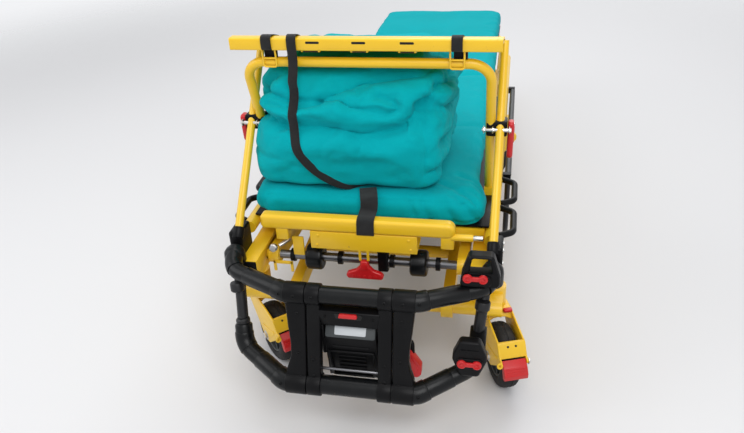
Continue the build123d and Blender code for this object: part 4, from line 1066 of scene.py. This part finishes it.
def lift_handles():
    """Both tubular handles with their sleeves, collars and screws, and the uprights between them."""
    upper, lower, screws = Form(), Form(), Form()
    top_run, low_run = [], []
    for sign in BOTH:
        top_side = [(sign * 280, 164.4, 359), (sign * 274, 112, 337), (sign * 138, 52, 334)]
        low_side = [(sign * 255, 84, 215), (sign * 250, 64, 169), (sign * 142, 0, 139)]
        top_run += top_side if sign < 0 else top_side[::-1]
        low_run += low_side if sign < 0 else low_side[::-1]
    for form, run, radius in ((upper, top_run, 18.5), (lower, low_run, 20.0)):
        path = bent(run, 46, 10)
        form.tube(path, radius - 0.8, 0, 36, 4)
        # grips on the straight middle and on each side, with rolled lips
        for start, end, grow in ((96, -96, 0.6), (18, 60, 0.8), (-60, -18, 0.8)):
            form.tube(stretch_of(path, start, end), radius + grow, 0, 36, 2.4)
    # wide sleeves over the bends beside the outer uprights
    sleeves = ((upper, [(120, 52, 334), (138, 52, 334), (158, 60.8, 334.4)], 21.4),
               (lower, [(120, 0, 139), (142, 0, 139), (160, 10.7, 144)], 22.6))
    for sign in BOTH:
        for form, run, radius in sleeves:
            form.tube(bent([(sign * x, y, z) for x, y, z in run], 30, 8), radius, 0, 36, 2.0)
        for x, y, z in ((144, 34.5, 341), (146, -19.6, 147)):
            screws.bolt((sign * x, y, z), (sign * 0.2, -0.93, 0.3), 4.2, 2.4)
        # rounded ends that show under the posts
        upper.turned([(-30, 23), (-6, 23.5), (6, 22), (13, 17), (17, 9), (18, 2)], (sign * 279.5, 150, 353),
                     (0, -0.1, 1), 0, 32)
    make("upper_handle_tube", upper, "black_rubber_grip", stands_for=("upper_lift_handle",))
    make("lower_handle_tube", lower, "black_rubber_grip", stands_for=("lower_lift_handle",))

    # two uprights on each side, clamped round both tubes; the outer ones are waisted
    fixings, bars = Form(), Form()
    low_bar, rise = Vector((0, 0, 139)), Vector((0, 52, 195))
    high_bar = low_bar + rise
    lean = rise.normalized()
    face = Vector((0, -lean.z, lean.y))
    inner = [(60, -12), (89, -12), (89, 208), (60, 208)]
    outer = [(90.6, -16), (102, -20), (128, -18), (137, 0), (134, 34), (128, 50), (124, 67), (124, 94),
             (128.5, 129), (133, 172), (136, 208), (90.6, 208)]
    for sign in BOTH:
        across = Vector((sign, 0, 0))
        for outline in (inner, outer):
            mirrored = soft_corners([(sign * a, b) for a, b in outline], 6)
            bars.plate(mirrored, low_bar, (1, 0, 0), lean, 25, 0, 5, 4)
        for place, radius in ((low_bar, 25), (high_bar, 23.2)):
            for start, end in ((60, 89), (90.6, 136)):
                bars.turned([(start, radius - 1.6), (start + 0.5, radius - 0.5), (start + 1.8, radius),
                             (end - 1.8, radius), (end - 0.5, radius - 0.5), (end, radius - 1.6)],
                            place, across, 0, 40)
        for x, share in ((107, 0.36), (75, 0.3), (75, 0.12), (104, 0.1), (108, 0.8)):
            fixings.bolt(low_bar + across * x + rise * share + face * 12.4, face, 3.8, 2.0)
        for x in (75, 112):
            fixings.bolt(high_bar + across * x + face * 23, face, 4.2, 2.2)
    make("handle_upright_bars", bars, "black_plastic", stands_for=("handle_uprights",))
    fixings.add(screws.points, screws.faces)
    make("handle_screws", fixings, "black_plastic")
    struts = Form()
    for sign in BOTH:
        low, high = Vector((sign * 255, 84, 215)), Vector((sign * 264, 104, 303))
        struts.turned([(-6, 14), (0, 15.5), (10, 15.5), (13, 13)], low, (high - low), 0, 28)
        struts.turned([(-14, 13), (-11, 15.5), (3, 15.5), (6, 14)], high, (high - low), 0, 28)
    softened("handle_strut_bars", "handle_struts", "black_paint", 1.5, 2, struts)
    rod = Form()
    rod.tube([(-66, 14, 172), (66, 14, 172)], 3.2, 1, 16, 1)
    make("dock_rod", rod, "bright_steel", others=(dark_steel,))


def battery_and_dock():
    """The battery in its dock between the inner uprights, with a blank plate and a red latch."""
    dock = Form()
    hood = [(30, 309), (98, 309), (98, 303), (40, 286), (37, 270), (32, 272)]
    dock.plate(soft_corners(hood, 4, 3), (0, 0, 0), (0, 1, 0), (0, 0, 1), 126, 1, 4, 3)
    dock.block((-64.4, 36, 236), (-56, 60, 292), 0, 3, 2)
    dock.block((56, 36, 236), (64.4, 60, 292), 0, 3, 2)
    # a thin near-black sheet on the hood's front paints the shade of a recess
    dock.front(soft_corners(taper(26, -6, 30, 7), 4), (0, 29.6, 299), 3, 2, 1)
    for x in (-50, 50):
        dock.bolt((x, 30.2, 296), (0, -1, 0), 3.2, 1.8)
    softened("battery_dock_shell", "battery_dock", "black_plastic", 4.0, 3, dock,
             (painted("black_plastic"), painted_hole_shade))
    latch = Form()
    latch.plate(soft_corners(taper(20, -4.5, 18, 4.5), 3.5), (0, 27.4, 303), (1, 0, 0), (0, 0.25, 1),
                8, 0, 2.6, 3)
    make("battery_latch", latch, "red_plastic")

    pack = Form()
    slopes = [(58, 283), (30, 243), (33.4, 209), (44, 128), (111, 128), (111, 283)]
    pack.plate(soft_corners(slopes, 4, 3), (0, 0, 0), (0, 1, 0), (0, 0, 1), 109, 1, 4.5, 3)
    up = Vector((0, 28, 40)).normalized()
    out = Vector((0, -up.z, up.y))
    middle = Vector((0, 40, 257.5))
    pack.plate(soft_corners(taper(53, -17, 53, 17), 5), middle + out * 1.8, (1, 0, 0), up, 4.4, 0, 1.6, 3)
    pack.plate(soft_corners(taper(33, -10, 33, 10), 3), middle + out * 4.4 - up, (1, 0, 0), up, 1.2, 2, 0.5)
    # lower face: raised frame round a sunk panel, a grip groove and ribs
    fall = Vector((0, 10.6, -81)).normalized()
    face = Vector((0, 38, 172))
    out = Vector((0, -81, -10.6)).normalized()
    frame_outer = taper(44, -38, 48, 34)
    for a, b in zip(frame_outer, frame_outer[1:] + frame_outer[:1]):
        start = face + Vector((a[0], 0, 0)) - fall * a[1] + out * 1.6
        end = face + Vector((b[0], 0, 0)) - fall * b[1] + out * 1.6
        pack.tube([start, end], 2.6, 1, 12, 1.2)
    for i in range(5):
        level = -24 + 11 * i
        pack.plate(soft_corners(taper(30, -1.8, 30, 1.8), 1.6), face - fall * level + out,
                   (1, 0, 0), -fall, 2.2, 1, 0.7, 1)
    pack.block((-40, 30.5, 214), (40, 37, 222), 1, 2)
    make("battery_case", pack, "grey_plastic", stands_for=("battery",),
         others=(painted("black_plastic"), pale_plate))
    # leaf-shaped red lever behind the right upright, on its arm from the dock
    lever = Form()
    leaf = [(114, 171), (123, 160), (139, 134), (138, 111), (129, 102), (117, 106), (110, 125), (108, 155)]
    lever.plate(soft_corners(leaf, 8, 5), (0, 94, 0), (1, 0, 0), (0, 0, 1), 20, 0, 6, 4)
    lever.front(soft_corners([(115, 158), (122, 150), (131, 134), (130, 117), (121, 113), (116, 128)], 5, 4),
                (0, 83.4, 0), 3, 0, 1.3, 2)
    lever.tube(bent([(40, 112, 184.7), (116, 112, 184.7), (118, 98, 160)], 12), 5, 1, 20, 1)
    lever.turned([(0, 3.6), (1.2, 3.4), (2, 2)], (115.5, 84, 143), (0, -1, 0), 2, 18)
    make("foot_end_lever_boot", lever, "red_plastic", stands_for=("foot_end_lever",),
         others=(painted("black_plastic"), painted("bright_steel")))


def rocker(form, x, y, z):
    """A rocker switch facing the foot: two linked round pads with a ring pressed into each."""
    form.front(soft_corners(taper(16, -5, 16, 5), 2), (x, y - 1.5, z), 5, 0, 1.6, 3)
    for sign in BOTH:
        form.turned([(-1, 9.6), (2.6, 9.6), (4.6, 8.6), (5.4, 6.8), (5.0, 6.0), (3.4, 5.4), (3.2, 3.4),
                     (4.6, 2.6), (5.0, 0.5)], (x + 15 * sign, y, z), (0, -1, 0), 0, 36)


def pods():
    """Both control pods at the right, each with its rocker switch."""
    pod, switch = Form(), Form()
    # upper pod: a frame round an opening, with the switch on its foot
    x, y, low = 258.0, 96.0, 355.8
    outer = soft_corners([(-39, 0), (39, 0), (38, 27), (24, 73), (-24, 73), (-38, 27)], 9, 4)
    hole = soft_corners([(-22, 34), (22, 34), (22, 36), (17, 66), (-17, 66), (-22, 36)], 6, 4)
    rows = []
    for shift, loop in ((-10, outer), (8, outer), (12, [(0.93 * a, 2 + 0.93 * b) for a, b in outer]),
                        (12, [(1.1 * a, 50 + 1.1 * (b - 50)) for a, b in hole]), (9, hole), (-11, hole)):
        rows.append([(x + a, y - shift, low + b) for a, b in loop])
    pod.skin(rows, 0, loop=True)
    pod.front(soft_corners(taper(31, -12, 29, 12), 7), (x - 9, y - 13, low + 17), 5, 0, 2, 3)
    rocker(switch, 248, y - 15.5, low + 23)
    # lower pod: a shield before the lower handle's bend, clamped to the side strut
    x, y, low = 244.0, 38.0, 188.0
    shield = soft_corners([(-19, -14), (19, -14), (35, 28), (34, 40), (20, 74), (-20, 74), (-34, 40),
                           (-35, 28)], 9, 4)
    pod.front(shield, (x, y, low), 25, 0, 6, 4)
    pod.front(soft_corners(taper(28, -13, 26, 13), 8), (x, y - 13.4, low + 22), 4, 0, 1.6, 3)
    pod.front(soft_corners(taper(19, -1.5, 17, 1.5), 1.4), (x, y - 12.6, low + 55), 3, 0, 1, 2)
    pod.block((240.2, 48, 226), (274.2, 109, 244), 0, 4, 3)
    rocker(switch, 244, y - 16, low + 23)
    make("pod_shells", pod, "black_plastic", stands_for=("control_pods",))
    make("rocker_switches", switch, "red_plastic", stands_for=("control_switches",))


foot_end()
lift_handles()
battery_and_dock()
pods()


# Casters and wheels

def place_of(node):
    """The middle of a CAD node's box, in millimetres."""
    low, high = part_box(node)
    middle = (low + high) / 2
    return Vector((middle.x / MM, middle.y / MM - FOOT_LINE, middle.z / MM))


def wheel(name, node, body, origin, axis, radius, width, rim, spokes):
    """A rubber tyre on a moulded wheel with spokes, a hub and a bearing cap."""
    form = Form()
    half = width / 2
    crown = [(-half + 1, rim), (-half, rim + 3), (-half, radius - 13), (-half + 2.5, radius - 7),
             (-half + 8, radius - 2.2), (-half + 13, radius - 0.6), (-3.2, radius), (-2.0, radius - 1.6),
             (2.0, radius - 1.6), (3.2, radius)]
    crown += [(-a, r) for a, r in crown[5::-1]] + [(half - 4, rim - 1.5), (-half + 4, rim - 1.5)]
    form.turned(crown, origin, axis, 0, 72, loop=True)
    form.turned([(-half + 3.5, rim - 1.4), (-half + 2.5, rim - 3), (-half + 4, rim - 6), (-5, rim - 8),
                 (5, rim - 8), (half - 4, rim - 6), (half - 2.5, rim - 3), (half - 3.5, rim - 1.4)],
                origin, axis, 1, 60, loop=True)
    form.turned([(-half + 3, 13), (half - 3, 13), (half - 2, 12), (half - 2, 8), (-half + 2, 8),
                 (-half + 2, 12)], origin, axis, 1, 36, loop=True)
    form.turned([(-4.5, 11), (-4.5, rim - 6), (4.5, rim - 6), (4.5, 11)], origin, axis, 1, 48, loop=True)
    axis = Vector(axis).normalized()
    over = Vector((0, 0, 1))
    for i in range(spokes):
        turn = Matrix.Rotation(2 * pi * i / spokes, 3, axis)
        way = turn @ over
        side = axis.cross(way)
        for face in BOTH:
            form.plate([(12, -3.4), (rim - 5, -2.4), (rim - 5, 2.4), (12, 3.4)],
                       Vector(origin) + axis * face * (half - 12), way, side, 13, 1, 1.0, 1)
    make(name, form, "tyre_rubber", body, (node,), (painted("grey_plastic"),))


def caster(which, heading):
    """A swivel caster: its wheel, the fork round it and the red brake pedal hung at the fork's front."""
    trail = Vector((cos(radians(heading)), sin(radians(heading)), 0))
    across = Vector((trail.y, -trail.x, 0))
    up = Vector((0, 0, 1))
    hub = place_of(f"caster_wheel_{which}")
    hub.z = 76.0
    body = f"caster_{which}"
    wheel(f"wheel_{which}_rolling", f"caster_wheel_{which}", f"wheel_{which}", hub, across, 76, 45, 50, 7)
    arm = Form()
    side_view = soft_corners([(-97, 98), (-39, 100), (4, 90), (54, 80), (72, 52), (80, 50), (86, 43),
                              (80, 36), (66, 28), (14, -15), (-13, -15), (-36, 16), (-97, 82)], 8, 5)
    sunk = soft_corners([(-20, 26), (20, 34), (54, 44), (54, 36), (14, -2), (-12, 0)], 6)
    for way in BOTH:
        arm.plate(side_view, hub + across * way * 29.5, trail, up, 4.2, 0, 1.6, 3)
        arm.plate(sunk, hub + across * way * 31.8, trail, up, 1.6, 0, 0.7, 2)
    stem = hub + trail * -68
    arm.plate(soft_corners(taper(29, -31, 29, 31), 7), stem + up * 97, trail, across * -1, 6, 0, 2.2, 3)
    arm.turned([(0, 26), (1, 26), (1.6, 24)], stem + up * 100, up, 0, 40)
    arm.tube([stem + up * 99, stem + up * 137], 12, 0, 28, 2)
    # arched lip from the crown down to the tyre, and the plate across the fork's nose
    fall = (trail * 14 - up * 20).normalized()
    arch = [(-31.5, -2), (31.5, -2), (31.5, 25), (24, 23), (14, 18.5), (0, 17), (-14, 18.5), (-24, 23),
            (-31.5, 25)]
    arm.plate(arch, hub - trail * 40.5 + up * 99, across, fall, 4, 0, 1.4, 3)
    fall = (trail * 18 - up * 30).normalized()
    face = (trail * 30 + up * 18).normalized()
    nose = hub + trail * 63 + up * 65 - face * 2
    arm.plate(soft_corners(taper(32, -18, 32, 17.5), 4), nose, across, fall, 4.4, 0, 1.6, 3)
    arm.plate(soft_corners(taper(31, -2, 31, 7), 2), nose - fall * 17 - face * 3, across, face * -1,
              3.6, 0, 1.4, 3)
    # two near-black discs on the nose plate paint the shade of its holes
    for spread in (-9, 9):
        arm.turned([(0, 2.6), (0.5, 2.6), (0.2, 1.6)], nose + across * spread - fall * 8 + face * 2.1,
                   face, 1, 14)
    # eye beside the pedal, its profile given as pairs of along and out
    eye = [(2.4 * sin(2 * pi * i / 10), 4.8 + 2.4 * cos(2 * pi * i / 10)) for i in range(10)]
    arm.turned([*eye, eye[0]], hub + trail * 84 + up * 43 + across * 34, trail * 0.9 + up * 0.4, 0, 24)
    arm.tube([hub - across * 31.4, hub + across * 31.4], 6, 0, 20, 0.8)
    make(f"fork_{which}_arms", arm, "yellow_paint", body, (f"caster_fork_{which}",), (painted_hole_shade,))
    fixings = Form()
    for way in BOTH:
        fixings.nut(hub + across * way * 31.7, across * way, 8.5, 6)
        fixings.bolt(hub - trail * 82 + up * 89 + across * way * 31.6, across * way, 4.5, 2.4)
    fixings.nut(hub + trail * 79 + up * 43 - across * 31.7, across * -1, 5, 4)
    make(f"fork_{which}_fixings", fixings, "bright_steel", body)
    tab = Form()
    tab.plate(soft_corners(taper(11, -6, 10, 6), 4), hub - trail * 33 + up * 99.5 - across * 20, across,
              trail, 7, 0, 2.2, 3)
    make(f"lock_tab_{which}", tab, "red_plastic", body)
    shoe = Form()
    outline = soft_corners([(73, 49), (90, 38.5), (100, 22), (98.5, 9), (88, 8), (80, 26), (74.5, 36)], 4, 5)
    shoe.plate(outline, hub, trail, up, 54, 0, 3.6, 4)
    slope = (trail * 10 - up * 16).normalized()
    rise = (trail * 16 + up * 10).normalized()
    rib = soft_corners(taper(22, -1.2, 22, 1.2), 1.1)
    for i in range(3):
        place = hub + trail * (91.5 + 2.6 * i) + up * (35.6 - 4.4 * i) + rise * 0.4
        shoe.plate(rib, place, across, slope, 1.6, 0, 0.6, 1)
    make(f"pedal_{which}_shoe", shoe, "red_plastic", body, (f"brake_pedal_{which}",))


for which, heading in (("foot_left", -47.0), ("foot_right", -70.0), ("head_left", 110.0),
                       ("head_right", 200.0)):
    caster(which, heading)
for side in ("left", "right"):
    node = f"load_wheel_{side}"
    wheel(f"{node}_rolling", node, node, place_of(node), (1, 0, 0), 62, 32, 42, 6)


# Legs, litter and head section

def frame_pieces():
    """What the CAD nodes of the frame already shape, with rounded edges and small fittings."""
    pivots = Form()
    for sign in BOTH:
        pivots.nut((sign * 226.5, 784.8, 255), (sign, 0, 0), 10, 6)
    shaft = Form()
    shaft.block((26, 213, 286), (50, 237, 342), 2, 4, 3)
    for x in (-170, -60, 58, 160):
        shaft.turned([(-5, 10.5), (-5, 15), (5, 15), (5, 10.5)], (x, 225, 310), (1, 0, 0), 2, 28)
    softened("outer_leg_pair", "outer_legs", "yellow_paint", 4.0, 3, shaft,
             (dark_steel, painted("black_plastic")),
             lambda p: abs(p.x) < 172 and (p.y - 225) ** 2 + (p.z - 310) ** 2 < 13 ** 2)
    softened("inner_leg_pair", "inner_legs", "yellow_paint", 4.0, 3)
    make("cross_pivot_nuts", pivots, "bright_steel", "outer_legs")
    softened("foot_beam_casting", "foot_caster_beam", "yellow_paint", 2.5, 3)
    softened("head_beam_casting", "head_caster_beam", "yellow_paint", 2.5, 3)
    for side in ("left", "right"):
        softened(f"litter_channel_{side}_extrusion", f"litter_channel_{side}", "yellow_paint", 1.5, 2)
    bolts = Form()
    for sign in BOTH:
        for z in (312, 330, 380):
            bolts.bolt((sign * 298.2, 188, z), (sign, 0, 0), 5, 3)
            bolts.bolt((sign * 298.2, 216, z), (sign, 0, 0), 5, 3)
    softened("corner_socket_castings", "corner_sockets", "black_plastic", 6.0, 4)
    make("socket_bolts", bolts, "bright_steel")
    # piece, node, slot, rounding and its steps
    for plain in (("litter_crossmember_bars", "litter_crossmembers", "yellow_paint", 2.5, 2),
                  ("seat_panel_sheet", "seat_panel", "black_plastic", 1.2, 2),
                  ("backrest_panel_sheet", "backrest_panel", "black_plastic", 1.2, 2),
                  ("rail_bearing_blocks", "rail_bearings", "black_plastic", 1.8, 2),
                  ("load_wheel_bracket_plates", "load_wheel_brackets", "yellow_paint", 1.4, 2),
                  ("shaft_roller_set", "shaft_rollers", "black_rubber_grip", 3.0, 3)):
        softened(*plain)
    ends = Form()
    for sign in BOTH:
        ends.block((sign * 250 - 17, 146, 286), (sign * 250 + 17, 151, 334), 0, 2.5, 3)
    make("channel_end_caps", ends, "black_plastic")
    # saddles that hold the load wheels' brackets to the head tube, and the axles' nuts
    saddles, axles = Form(), Form()
    for sign in BOTH:
        for way in BOTH:
            x = sign * 140 + way * 24
            saddles.turned([(-6, 13.6), (-6, 17.4), (-5, 18), (5, 18), (6, 17.4), (6, 13.6)],
                           (x, 2026.5, 310), (1, 0, 0), 0, 36, loop=True)
            axles.nut((x + way * 3.2, 1960, 72), (way, 0, 0), 9, 6)
            axles.bolt((x, 2026.5, 327.6), (0, 0, 1), 4, 2.4)
    section = nodes["load_wheel_brackets"]["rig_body"]
    make("head_tube_saddles", saddles, "yellow_paint", section)
    make("load_axle_nuts", axles, "bright_steel", section)
    unit = Form()
    for y in (690, 935):
        unit.block((-161, y - 5, 274), (-39, y + 5, 358), 0, 3, 2)
    for i in range(9):
        unit.block((-158.5, 730 + 18 * i, 290), (-41.5, 736 + 18 * i, 346), 0, 2, 2)
    for x in (-145, -100, -55):
        for y in (651, 974):
            unit.bolt((x, y - 6.2 if y < 700 else y + 6.2, 330), (0, -1 if y < 700 else 1, 0), 4, 2.5)
    softened("hydraulic_unit_case", "hydraulic_unit", "black_plastic", 3.0, 3, unit)


frame_pieces()
